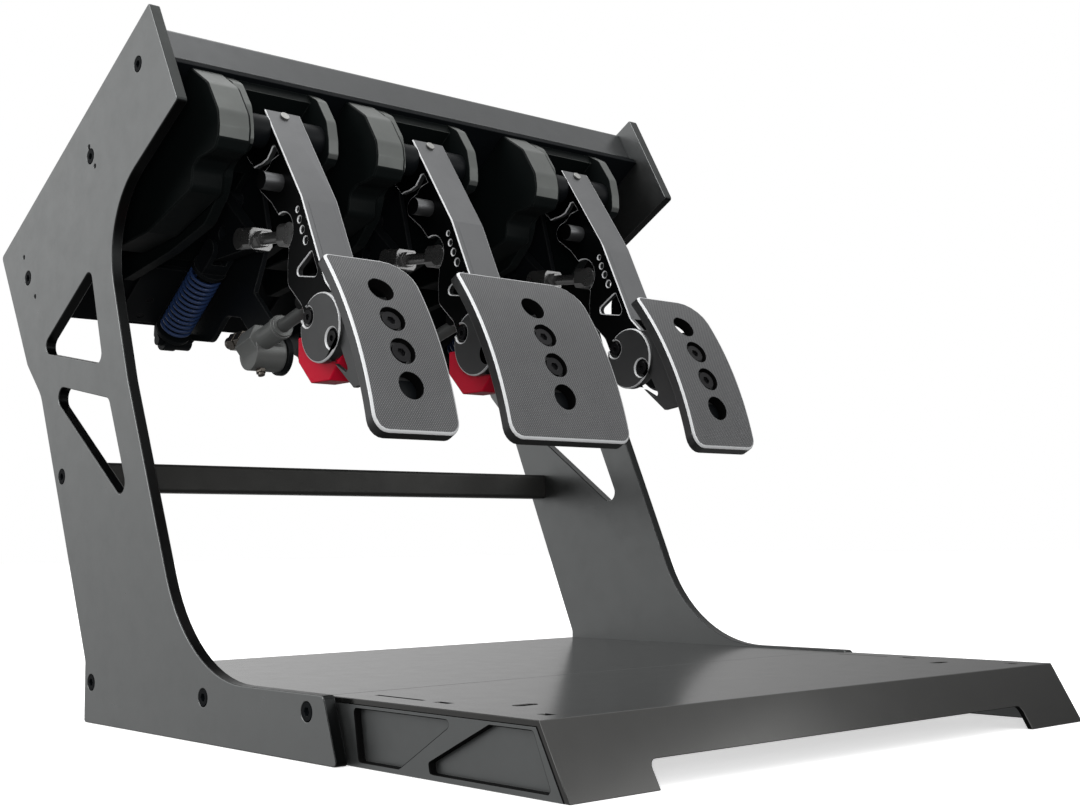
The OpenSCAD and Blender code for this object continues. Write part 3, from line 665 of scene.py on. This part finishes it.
@dataclass
class Skin:
    """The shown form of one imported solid: same shape, with rounded edges and a finish.

    Where it has a second finish, only its chamfer is rounded to the full width, and its other edges
    to the fine share of it. The pivot is that of the pedal it belongs to.
    """

    node: str
    body: str
    slot: str
    face: Finish
    edge: Finish | None = None
    width: float = 0.5 * MM
    segments: int = 2
    fine: float = 0.3
    touch: float = 0.1 * MM
    pivot: Vector = field(default_factory=Vector)

    def chamfered(self, points: Array, near: float) -> Array:
        """Tells which points lie on the piece's chamfer. A plain piece has none.

        Args:
            points: Places in metres, one a row.
            near: How far from the chamfer's own edge a point may be.

        Returns:
            A mask with an item for each point.
        """
        return np.zeros(len(points), bool)

    def finishes(self) -> tuple[Finish, ...]:
        """Returns the finishes of the piece's material slots."""
        return (self.face, self.edge or self.face)

    def slots(self, mesh: Mesh) -> Array:
        """Chooses each face's material slot.

        Args:
            mesh: The finished mesh, whose rounded edges have slot 1.

        Returns:
            1 for the chamfer's faces and 0 for all others.
        """
        rounded = read(mesh.polygons, "material_index") == 1
        centre = read(mesh.polygons, "center", 3)
        return (rounded & self.chamfered(centre, self.width)).astype(np.int32)

    def lay_out(self, mesh: Mesh) -> None:
        """Writes a UV map where the finish needs one. A plain piece needs none."""

    def _weights(self, mesh: Mesh) -> Array:
        """Shares out the width of the rounding.

        Args:
            mesh: The mesh before its edges are rounded.

        Returns:
            Each edge's share: 1 on the chamfer, the fine share on other sharp edges, 0 elsewhere.
        """
        turn = edge_turns(mesh)
        ends = read(mesh.edges, "vertices", 2)
        on = self.chamfered(read(mesh.vertices, "co", 3), self.touch)
        chamfer = on[ends[:, 0]] & on[ends[:, 1]]
        plain = self.fine if self.edge else 1.0
        return np.where(turn > SHARP, np.where(chamfer, 1.0, plain), 0.0)

    def build(self) -> Piece:
        """Builds the skin in place of its node.

        Returns:
            The skin's object.
        """
        work = welded(self.node)
        mesh = bpy.data.meshes.new(self.node + "_skin")
        work.to_mesh(mesh)
        work.free()
        mesh.materials.clear()
        for finish in self.finishes():
            mesh.materials.append(finish.material())
        mesh.polygons.foreach_set("material_index", np.zeros(len(mesh.polygons), np.int32))
        piece = place(mesh, self.node + "_skin")
        bevel(piece, self.width, self.segments, self._weights(mesh))
        finish_mesh(piece)
        mesh = piece.data
        mesh.polygons.foreach_set("material_index", self.slots(mesh))
        self.lay_out(mesh)
        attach(piece, self.body)
        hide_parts(self.node)
        LOG.info("%s: %d faces", piece.name, len(mesh.polygons))
        return piece


@dataclass
class RimmedSkin(Skin):
    """A milled piece whose two outer faces, square to X, have a bright chamfer round them."""

    half: float = 13.65 * MM
    hub_drop: float = 10 * MM
    spine_ahead: float = 2.5 * MM
    spine_top: float = 15 * MM
    spine_lean: float = 0.679
    spine_depth: float = 2 * MM

    def chamfered(self, points: Array, near: float) -> Array:
        """Tells which points lie near either outer face, the hub's hidden back left out.

        The spine's front stands ahead of the pivot by spine_ahead at the height spine_top, and by
        spine_lean more for each unit of height below that. The hub's back is what lies higher than
        hub_drop under the pivot and deeper than spine_depth behind that front.

        Args:
            points: Places in metres, one a row.
            near: How far from the outer face a point may be.

        Returns:
            A mask with an item for each point.
        """
        outer = np.abs(np.abs(points[:, 0] - self.pivot.x) - self.half) < near
        ahead = self.pivot.y - points[:, 1]
        rise = points[:, 2] - self.pivot.z
        spine = self.spine_ahead + (self.spine_top - rise) * self.spine_lean
        hub = (rise > -self.hub_drop) & (ahead < spine - self.spine_depth)
        return outer & ~hub


@dataclass
class LegSkin(Skin):
    """A black piece whose legs' upper fronts, and the rounded lip between them, carry a painted
    highlight, grey where light falls.
    """

    fine: float = 0.4
    leg_from: float = 24 * MM
    highlight_drop: float = 15 * MM
    seam: float = 36.8 * MM
    fore: float = 0.35
    aside: float = 0.3
    under: float = 0.3
    back: float = 0.1

    def chamfered(self, points: Array, near: float) -> Array:
        """Tells which points lie on the side where the sensor block and the yoke's leg meet.

        Args:
            points: Places in metres, one a row.
            near: How far from that side a point may be.

        Returns:
            A mask with an item for each point.
        """
        return np.abs(self.pivot.x - points[:, 0] - self.seam) < near

    def slots(self, mesh: Mesh) -> Array:
        """Chooses the faces with the painted highlight by their normals' Y, X and Z against the
        limits above.

        Args:
            mesh: The finished mesh, whose rounded edges have slot 1.

        Returns:
            1 for the upper front of a leg and the lip between the legs, and 0 elsewhere.
        """
        centre = read(mesh.polygons, "center", 3)
        normal = read(mesh.polygons, "normal", 3)
        leg = np.abs(centre[:, 0] - self.pivot.x) > self.leg_from
        # Faces above the drop get the painted highlight; lower ones keep the black.
        upper = centre[:, 2] > self.pivot.z - self.highlight_drop
        front = (normal[:, 1] < -self.fore) & (np.abs(normal[:, 0]) < self.aside)
        rounded = read(mesh.polygons, "material_index") == 1
        lip = rounded & ~leg & (normal[:, 2] < -self.under) & (normal[:, 1] < self.back)
        return (upper & (front & leg | lip)).astype(np.int32)


@dataclass
class PanelSkin(Skin):
    """A floor panel: grey outside, with painted shade, black, on the walls of its slots and holes.
    """

    rim: float = 3 * MM
    level: float = 0.9
    lip_fore: float = 0.3
    lip_rise: float = 0.15

    def slots(self, mesh: Mesh) -> Array:
        """Chooses the faces with painted shade, black: upright, inside the panel's outline and not
        its slanted lip.

        Args:
            mesh: The finished mesh.

        Returns:
            1 for the walls of slots and holes, and 0 elsewhere.
        """
        centre = read(mesh.polygons, "center", 3)
        normal = read(mesh.polygons, "normal", 3)
        points = read(mesh.vertices, "co", 3)
        low, high = points.min(0) + self.rim, points.max(0) - self.rim
        inside = ((centre[:, :2] > low[:2]) & (centre[:, :2] < high[:2])).all(1)
        upright = np.abs(normal[:, 2]) < self.level
        slanted = (normal[:, 1] < -self.lip_fore) & (normal[:, 2] > self.lip_rise)
        return (inside & upright & ~slanted).astype(np.int32)


@dataclass
class PlateSkin(Skin):
    """A side plate, whose dark cut edge has a painted highlight, grey, along the front of the head.
    """

    head_from: float = 340 * MM
    fore: float = 0.5
    flank: float = 0.9

    def slots(self, mesh: Mesh) -> Array:
        """Chooses the faces of the cut edge that get the painted highlight.

        Args:
            mesh: The finished mesh.

        Returns:
            1 for the head's edge faces that look forward and up, and 0 elsewhere.
        """
        # Where light falls on the head's cut edge, facing forward and up, a painted highlight shows
        # it grey.
        normal = read(mesh.polygons, "normal", 3)
        head = read(mesh.polygons, "center", 3)[:, 2] > self.head_from
        front = (normal[:, 1] < -self.fore) & (normal[:, 2] > 0)
        return (head & front & (np.abs(normal[:, 0]) < self.flank)).astype(np.int32)


@dataclass
class RailSkin(Skin):
    """A rail whose edges and whose pockets' walls are black as painted shade."""

    flank: float = 0.95

    def slots(self, mesh: Mesh) -> Array:
        """Returns 1 for all faces but those square to X, and 0 for these."""
        return (np.abs(read(mesh.polygons, "normal", 3)[:, 0]) < self.flank).astype(np.int32)


@dataclass
class ScrewSkin(Skin):
    """A pedal's screws: bright on the arm's top, black elsewhere."""

    fine: float = 1.0
    bright_drop: float = 10 * MM

    def slots(self, mesh: Mesh) -> Array:
        """Returns 1 for the faces of the screw near the pivot, and 0 elsewhere."""
        height = read(mesh.polygons, "center", 3)[:, 2]
        return (height > self.pivot.z - self.bright_drop).astype(np.int32)


@dataclass
class PadSkin(Skin):
    """The curved foot pad: crossed grooves on its face and a bright chamfer round that face."""

    arc_radius: float = 250 * MM
    hole_reach: float = 10 * MM
    hole_run: float = 50 * MM
    aim: float = math.radians(26.35)
    slack: float = 0.2 * MM
    skin: float = 1.0 * MM
    facing: float = 0.9

    def finishes(self) -> tuple[Finish, ...]:
        """Returns the finishes of side wall, chamfer, grooved face and the painted shade in the
        holes.
        """
        return (PAD_SIDE, SILVER_EDGE, PAD_FACE, HOLE_SHADE)

    def _ray(self, points: Array) -> Array:
        """Returns the vectors, in Y and Z, from the middle of the pad's arc to the points."""
        middle = np.array([self.pivot.y + PAD_ARC[0], self.pivot.z + PAD_ARC[1]])
        return points[:, 1:] - middle

    def _in_holes(self, points: Array) -> Array:
        """Tells which points lie in the strip of the pad's holes.

        A point's place along the arc is its angle, from the pad's middle at the angle aim, times
        the arc's radius.

        Args:
            points: Places in metres, one a row.

        Returns:
            A mask with an item for each point.
        """
        ray = self._ray(points)
        along = np.abs(np.arctan2(ray[:, 1], -ray[:, 0]) - self.aim) * self.arc_radius
        across = np.abs(points[:, 0] - self.pivot.x)
        return (across < self.hole_reach) & (along < self.hole_run)

    def chamfered(self, points: Array, near: float) -> Array:
        """Tells which points lie near the pad's face, the holes' rims left out.

        Args:
            points: Places in metres, one a row.
            near: How far under the face a point may be.

        Returns:
            A mask with an item for each point.
        """
        reach = np.linalg.norm(self._ray(points), axis=1)
        return (reach > self.arc_radius - near - self.slack) & ~self._in_holes(points)

    def slots(self, mesh: Mesh) -> Array:
        """Chooses each face's material slot by its reach from the arc's middle and its normal.

        Args:
            mesh: The finished mesh, whose rounded edges have slot 1.

        Returns:
            1 for the chamfer, 2 for the grooved face, 3 for the painted shade in the holes and 0
            for the side walls.
        """
        chamfer = super().slots(mesh) == 1
        centre = read(mesh.polygons, "center", 3)
        normal = read(mesh.polygons, "normal", 3)
        ray = self._ray(centre)
        reach = np.linalg.norm(ray, axis=1)
        outward = (normal[:, 1:] * ray).sum(1) > self.facing * reach
        face = outward & (reach > self.arc_radius - self.skin) & ~chamfer
        hole = ~outward & self._in_holes(centre)
        return np.select([chamfer, face, hole], [1, 2, 3], 0).astype(np.int32)

    def lay_out(self, mesh: Mesh) -> None:
        """Writes each corner's place on the pad, across and along the arc, as its UV in metres.

        Args:
            mesh: The finished mesh.
        """
        layer = mesh.uv_layers.get("UVMap") or mesh.uv_layers.new(name="UVMap")
        points = read(mesh.vertices, "co", 3)
        ray = self._ray(points)
        along = np.arctan2(ray[:, 1], -ray[:, 0]) * self.arc_radius
        spots = np.column_stack([points[:, 0], along])[read(mesh.loops, "vertex_index")]
        layer.data.foreach_set("uv", spots.astype(np.float32).ravel())


@dataclass
class BracketTongue:
    """The lower end of a bracket's wall, which closes the pad's lowest hole from behind."""

    pedal: Pedal
    slot: str
    pivot: Vector
    half: float = 13 * MM
    outer: float = 241.6 * MM
    thick: float = 3 * MM
    low: float = math.radians(13.3)
    high: float = math.radians(20.8)
    corner: float = 5 * MM
    rows: int = 25
    columns: int = 5

    def _sheet(self) -> tuple[Array, Array]:
        """Works out the tongue's front, bent round the pad's arc.

        A row at an angle lies at the outer radius times its cosine and sine from the middle of the
        pad's arc, and the rows crowd towards the lower end. The half width shrinks along a quarter
        circle at the lower corners.

        Returns:
            The points and the quads.
        """
        angle = self.low + (self.high - self.low) * np.linspace(0.0, 1.0, self.rows) ** 2
        rise = np.minimum((angle - self.low) * self.outer, self.corner)
        half = self.half - self.corner + np.sqrt(self.corner**2 - (self.corner - rise) ** 2)
        middle = self.pivot + Vector((0.0, *PAD_ARC))
        points = np.zeros((self.rows, self.columns, 3))
        points[..., 0] = middle.x + half[:, None] * np.linspace(-1.0, 1.0, self.columns)
        points[..., 1] = (middle.y - self.outer * np.cos(angle))[:, None]
        points[..., 2] = (middle.z + self.outer * np.sin(angle))[:, None]
        first = np.arange(self.rows - 1)[:, None] * self.columns + np.arange(self.columns - 1)
        ring = [first, first + 1, first + 1 + self.columns, first + self.columns]
        return points.reshape(-1, 3), np.stack(ring, axis=-1).reshape(-1, 4)

    def build(self) -> Piece:
        """Gives the sheet its thickness, away from the pad.

        Returns:
            The tongue's object.
        """
        points, faces = self._sheet()
        name = f"{self.pedal.value}_bracket_tongue"
        mesh = bpy.data.meshes.new(name)
        mesh.from_pydata(points.tolist(), [], faces.tolist())
        mesh.materials.append(FRAME_BLACK.material())
        piece = place(mesh, name)
        wall = piece.modifiers.new("wall", "SOLIDIFY")
        wall.thickness = self.thick
        wall.offset = -1.0
        finish_mesh(piece)
        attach(piece, f"{self.pedal.value}_pedal")
        LOG.info("%s: %d faces", name, len(piece.data.polygons))
        return piece


def slot_names(record: dict) -> dict[str, str]:
    """Returns the record's material slot of each node, by the node's name."""
    return {part["node"]: part["material_slot"] for part in record["subparts"]}


@dataclass
class Stand:
    """Everything that stands still: plates, cover, deck, floor, rails and their screws."""

    record: dict
    body: str = "stand"
    plate_edge: float = 0.6 * MM
    rail_edge: float = 0.5 * MM
    sheet_edge: float = 0.4 * MM
    screw_edge: float = 0.3 * MM
    fitting_edge: float = 0.25 * MM

    def _rows(self) -> list[tuple[type[Skin], str, Finish, Finish | None, float]]:
        """Lists the fixed pieces.

        Returns:
            Kind, node, finish, second finish and edge width of each.
        """
        return [
            (PlateSkin, "left_side_plate", FRAME_GREY, HEAD_EDGE_HIGHLIGHT, self.plate_edge),
            (PlateSkin, "right_side_plate", FRAME_GREY, HEAD_EDGE_HIGHLIGHT, self.plate_edge),
            (Skin, "top_cover", COVER_GREY, None, self.sheet_edge),
            (Skin, "pedal_deck", DECK_BLACK, None, self.sheet_edge),
            (Skin, "crossbar", BAR_BLACK, None, self.screw_edge),
            (PanelSkin, "rear_floor", FLOOR_GREY, HOLE_SHADE, self.sheet_edge),
            (PanelSkin, "front_floor", FLOOR_GREY, HOLE_SHADE, self.sheet_edge),
            (RailSkin, "left_rail", RAIL_GREY, HOLE_SHADE, self.rail_edge),
            (RailSkin, "right_rail", RAIL_GREY, HOLE_SHADE, self.rail_edge),
            (Skin, "frame_fasteners", DECK_BLACK, None, self.screw_edge),
            (Skin, "module_bolts", SCREW_BLACK, None, self.screw_edge),
            (Skin, "hydraulic_fittings", FITTING_METAL, None, self.fitting_edge),
            (Skin, "pivot_pins", BRIGHT_STEEL, None, self.sheet_edge),
        ]

    def build(self) -> None:
        """Builds a skin for each piece of the stand."""
        slots = slot_names(self.record)
        for kind, node, face, edge, width in self._rows():
            kind(node, self.body, slots[node], face, edge, width, fine=1.0).build()


@dataclass
class CoilSpring:
    """A round wire wound between two seats, square to both."""

    pedal: Pedal
    low: Vector
    high: Vector
    outer: float = 24 * MM
    wire: float = 2.6 * MM
    curls: int = 13
    steps: int = 24
    sides: int = 12

    def _path(self) -> Array:
        """Works out the wire's middle, with the spring's axis along Z from the lower seat.

        The wire rises straight by its own thickness, winds up evenly, and leaves straight.

        Returns:
            Points along the wire, one a row.
        """
        length = (self.high - self.low).length
        radius = self.outer / 2 - self.wire / 2
        turn = np.linspace(0.0, self.curls, self.curls * self.steps + 1)[1:-1]
        rise = self.wire + (length - 2 * self.wire) * turn / self.curls
        angle = 2 * np.pi * turn
        wound = np.column_stack([radius * np.cos(angle), radius * np.sin(angle), rise])
        ends = np.array([0.0, self.wire])
        start = np.column_stack([np.full(2, radius), np.zeros(2), ends])
        stop = np.column_stack([np.full(2, radius), np.zeros(2), length - ends[::-1]])
        return np.vstack([start, wound, stop])

    def _tube(self, path: Array) -> tuple[Array, Array]:
        """Sweeps a ring of the wire's thickness along the path.

        A ring's point lies out from the path by the cosine of its angle and up by the sine. Out is
        the path's direction away from the spring's axis, squared to the wire, and up is square to
        both.

        Args:
            path: Points of the wire's middle.

        Returns:
            The tube's vertices and its quad faces.
        """
        ahead = np.vstack([path[1:], path[-1:]])
        behind = np.vstack([path[:1], path[:-1]])
        along = ahead - behind
        along /= np.linalg.norm(along, axis=1, keepdims=True)
        out = path * np.array([1.0, 1.0, 0.0])
        out /= np.linalg.norm(out, axis=1, keepdims=True)
        out -= (out * along).sum(1, keepdims=True) * along
        out /= np.linalg.norm(out, axis=1, keepdims=True)
        up = np.cross(along, out)
        angle = np.linspace(0, 2 * np.pi, self.sides, endpoint=False)[:, None]
        ring = np.cos(angle) * out[:, None] + np.sin(angle) * up[:, None]
        points = (path[:, None] + self.wire / 2 * ring).reshape(-1, 3)
        row = np.arange(len(path) - 1)[:, None] * self.sides
        side = np.arange(self.sides)[None, :]
        near, far = row + side, row + (side + 1) % self.sides
        faces = np.stack([near, far, far + self.sides, near + self.sides], axis=-1)
        return points, faces.reshape(-1, 4)

    def build(self, joint: str, keep: float) -> Piece:
        """Builds the spring.

        Args:
            joint: Not used; the slide joint of the coil-over.
            keep: Not used; the share of its length meant to be left at the joint's limit.

        Returns:
            The spring's object.
        """
        name = f"{self.pedal.value}_coil"
        points, faces = self._tube(self._path())
        axis = (self.high - self.low).normalized()
        turn = axis.to_track_quat("Z", "X").to_matrix()
        points = points @ np.array(turn).T + np.array(self.low)
        first, last = range(self.sides), range(len(points) - self.sides, len(points))
        caps = [list(first)[::-1], list(last)]
        mesh = bpy.data.meshes.new(name)
        mesh.from_pydata(points.tolist(), [], faces.tolist() + caps)
        mesh.materials.append(SPRING_BLUE.material())
        mesh.shade_smooth()
        mesh.set_sharp_from_angle(angle=WIRE_SHARP)
        piece = place(mesh, name)
        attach(piece, f"{self.pedal.value}_coilover_low")
        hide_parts(f"{self.pedal.value}_spring")
        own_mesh(piece)
        LOG.info("%s: %d faces", name, len(mesh.polygons))
        return piece


Row = tuple[type[Skin], str, str, Finish, Finish | None, float, dict[str, float]]


@dataclass
class PedalModule:
    """One pedal with its yoke, linkage, coil-over and, on two of them, its cylinder.

    The damper's eye and top are given in Y and Z from the pedal's pivot, the spring's seats as
    lengths from the eye towards the top.
    """

    pedal: Pedal
    record: dict
    hydraulic: bool
    spring_share: float
    damper_eye: Pair = (158 * MM, -121 * MM)
    damper_top: Pair = (81 * MM, -66 * MM)
    spring_seats: Pair = (12.06 * MM, 74.94 * MM)
    edge: float = 0.4 * MM
    rod_edge: float = 0.2 * MM
    bumper_edge: float = 0.8 * MM
    yoke_edge: float = 0.8 * MM
    block_edge: float = 2.4 * MM
    screw_edge: float = 0.25 * MM
    arm_edge: float = 0.7 * MM
    bracket_edge: float = 1.0 * MM
    pad_edge: float = 1.4 * MM
    block_leg: float = 30 * MM
    bracket_half: float = 19.65 * MM

    def _rows(self) -> list[Row]:
        """Lists the module's pieces.

        Returns:
            Kind, piece, body, finish, second finish, edge width and own sizes of each.
        """
        name = self.pedal.value
        moving, low, top = f"{name}_pedal", f"{name}_coilover_low", f"{name}_coilover_top"
        rows = [
            (Skin, "damper_frame", "stand", FRAME_BLACK, None, self.edge, {}),
            (Skin, "pivot_bushes", moving, FRAME_BLACK, None, self.edge, {}),
            (Skin, "link", f"{name}_push_link", BRIGHT_STEEL, None, self.edge, {}),
            (Skin, "rocker", f"{name}_lever", FRAME_BLACK, None, self.edge, {}),
            (Skin, "spring_cup", low, HOUSING_BLACK, None, self.edge, {}),
            (Skin, "spring_rod", top, FRAME_BLACK, None, self.edge, {}),
        ]
        if self.hydraulic:
            rod = f"{name}_hydraulic_rod"
            rows += [
                (Skin, "cylinder", "stand", CYLINDER_BLACK, None, self.edge, {}),
                (Skin, "cylinder_rod", rod, ROD_GREY, None, self.rod_edge, {}),
                (Skin, "bumper", moving, RED_RUBBER, None, self.bumper_edge, {}),
            ]
        block, wall = {"leg_from": self.block_leg}, {"half": self.bracket_half}
        rows += [
            (LegSkin, "yoke", "stand", YOKE_BLACK, LEG_HIGHLIGHT, self.yoke_edge, {}),
            (LegSkin, "sensor_block", "stand", YOKE_BLACK, LEG_HIGHLIGHT, self.block_edge, block),
            (ScrewSkin, "pedal_screws", moving, SCREW_BLACK, SCREW_STEEL, self.screw_edge, {}),
            (RimmedSkin, "arm", moving, ARM_GREY, SILVER_EDGE, self.arm_edge, {}),
            (RimmedSkin, "pad_bracket", moving, BRACKET_GREY, SILVER_EDGE, self.bracket_edge, wall),
            (PadSkin, "pad", moving, PAD_SIDE, SILVER_EDGE, self.pad_edge, {}),
        ]
        return rows

    def _pivot(self) -> Vector:
        """Reads the pedal's pivot from its joint.

        Returns:
            The pivot in metres.
        """
        name = f"{self.pedal.value}_press"
        joint = next(j for j in self.record["behaviour"]["joints"] if j["name"] == name)
        return Vector(joint["pos_m"])

    def _spring_ends(self, pivot: Vector) -> tuple[Vector, Vector]:
        """Finds the middles of the spring's two seats.

        Args:
            pivot: The pedal's pivot.

        Returns:
            The lower and the upper middle.
        """
        x, y, z = pivot
        eye = Vector((x, y + self.damper_eye[0], z + self.damper_eye[1]))
        top = Vector((x, y + self.damper_top[0], z + self.damper_top[1]))
        along = (top - eye).normalized()
        low, high = self.spring_seats
        return eye + along * low, eye + along * high

    def build(self) -> None:
        """Builds every piece of the module."""
        slots = slot_names(self.record)
        name = self.pedal.value
        pivot = self._pivot()
        for kind, piece, body, face, edge, width, sizes in self._rows():
            node = f"{name}_{piece}"
            kind(node, body, slots[node], face, edge, width, pivot=pivot, **sizes).build()
        BracketTongue(self.pedal, slots[f"{name}_pad_bracket"], pivot).build()
        low, high = self._spring_ends(pivot)
        CoilSpring(self.pedal, low, high).build(f"{name}_coilover_slide", self.spring_share)


@dataclass(frozen=True)
class Glow:
    """A part of the sky that brightens smoothly towards one direction.

    Its strength rises from the least value to 1 as the cosine between the two directions runs over
    the rise.
    """

    toward: Triple
    rise: Pair
    least: float = 0.0

    def value(self, graph: Graph) -> Socket:
        """Works out the strength.

        Args:
            graph: The sky's nodes.

        Returns:
            The strength.
        """
        turn = graph.cosine(graph.spot.outputs["Generated"], self.toward)
        return graph.remap(turn, self.rise, (self.least, 1.0), "SMOOTHSTEP")


@dataclass(frozen=True)
class SoftBox:
    """A rectangular light: its place, its width and height in metres and its power in watts."""

    name: str
    spot: Triple
    size: Pair
    power: float
    glossy: bool = True

    def hang(self, aim: Vector) -> None:
        """Adds the light, which the camera doesn't see.

        Args:
            aim: The point it faces.
        """
        data = bpy.data.lights.new(self.name, "AREA")
        data.shape = "RECTANGLE"
        data.size, data.size_y = self.size
        data.energy = self.power
        light = bpy.data.objects.new(self.name, data)
        light.location = self.spot
        light.rotation_euler = (aim - Vector(self.spot)).to_track_quat("-Z", "Y").to_euler()
        light.visible_camera = False
        light.visible_glossy = self.glossy
        bpy.context.scene.collection.objects.link(light)


@dataclass
class Studio:
    """Pale floor, soft lights and the camera at the photograph's angle, its turns in degrees."""

    camera_spot: Triple = (-0.6499, -0.7990, 0.1100)
    heading: float = -41.03
    pitch: float = 5.462
    roll: float = -0.737
    lens: float = 50.16
    sensor: float = 36.0
    floor_half: float = 14.0
    floor_drop: float = -0.2 * MM
    floor_glow: float = 0.6
    aim: Triple = (0.0, 0.0, 0.25)
    sky: Pair = (0.15, 1.0)
    overhead: Glow = Glow(UP, (0.25, 0.75))
    behind: Glow = Glow((-0.1305, 0.9914, 0.0), (0.2, 1.1))
    above: Glow = Glow(UP, (-0.45, -0.1))
    higher: Glow = Glow(UP, (-0.1, 0.3), 0.5)
    boxes: tuple[SoftBox, ...] = (
        SoftBox("key", (-2.5, 0.3, 1.6), (1.6, 1.6), 20.0),
        SoftBox("top", (0.0, 0.5, 2.6), (2.4, 2.4), 20.0),
        SoftBox("front", (1.1, -2.5, 0.9), (3.2, 1.6), 24.0),
        SoftBox("lens_side", (-0.74, -0.96, 0.12), (0.35, 0.35), 7.5, glossy=False),
    )

    def _camera(self) -> None:
        """Sets the camera from its spot, heading, pitch and roll."""
        data = bpy.data.cameras.new("camera")
        data.lens = self.lens
        data.sensor_width = self.sensor
        camera = bpy.data.objects.new("camera", data)
        turn = (
            Matrix.Rotation(math.radians(self.heading), 4, "Z")
            @ Matrix.Rotation(math.radians(90 + self.pitch), 4, "X")
            @ Matrix.Rotation(math.radians(self.roll), 4, "Z")
        )
        camera.matrix_world = Matrix.Translation(Vector(self.camera_spot)) @ turn
        bpy.context.scene.collection.objects.link(camera)
        bpy.context.scene.camera = camera

    def _floor(self) -> None:
        """Lays a wide pale floor under the stand."""
        half = self.floor_half
        mesh = bpy.data.meshes.new("studio_floor")
        ring = ((-half, -half), (half, -half), (half, half), (-half, half))
        mesh.from_pydata([(x, y, self.floor_drop) for x, y in ring], [], [(0, 1, 2, 3)])
        mesh.materials.append(STAGE_WHITE.material())
        shader = STAGE_WHITE.material().node_tree.nodes["Principled BSDF"]
        set_inputs(shader, Emission_Color=WHITE, Emission_Strength=self.floor_glow)
        floor = place(mesh, "studio_floor")
        floor.visible_diffuse = False
        floor.visible_glossy = False

    def _sky(self) -> None:
        """Surrounds the scene with softboxes: overhead and behind, dark in front and below.

        The strength is low + (high - low) x max(overhead, behind x above the ground x higher),
        where the last glow only dims the wall near the ground. The camera itself sees plain white.
        """
        world = bpy.data.worlds.new("studio")
        world.use_nodes = True
        graph = Graph(world.node_tree)
        back = world.node_tree.nodes["Background"]
        set_inputs(back, Color=WHITE)
        wall = self.behind.value(graph)
        for glow in (self.above, self.higher):
            wall = graph.combine("MULTIPLY", wall, glow.value(graph))
        both = graph.combine("MAXIMUM", self.overhead.value(graph), wall)
        mix = graph.add("Mix", data_type="FLOAT")
        graph.link(graph.add("LightPath").outputs["Is Camera Ray"], mix.inputs[0])
        graph.link(graph.remap(both, end=self.sky), mix.inputs[2])
        mix.inputs[3].default_value = 1.0
        graph.link(mix.outputs[0], back.inputs["Strength"])
        bpy.context.scene.world = world
        bpy.context.scene.view_settings.view_transform = "Standard"

    def build(self) -> None:
        """Builds floor, sky, lights and camera."""
        self._floor()
        self._sky()
        for box in self.boxes:
            box.hang(Vector(self.aim))
        self._camera()


def main() -> None:
    """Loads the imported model, dresses it and sets the studio."""
    logging.basicConfig(level=logging.INFO, format="%(message)s")
    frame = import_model()
    record = frame["record"]
    Stand(record).build()
    PedalModule(Pedal.CLUTCH, record, hydraulic=True, spring_share=0.8).build()
    PedalModule(Pedal.BRAKE, record, hydraulic=True, spring_share=0.86).build()
    PedalModule(Pedal.THROTTLE, record, hydraulic=False, spring_share=0.81).build()
    Studio().build()


if __name__ == "__main__":
    main()
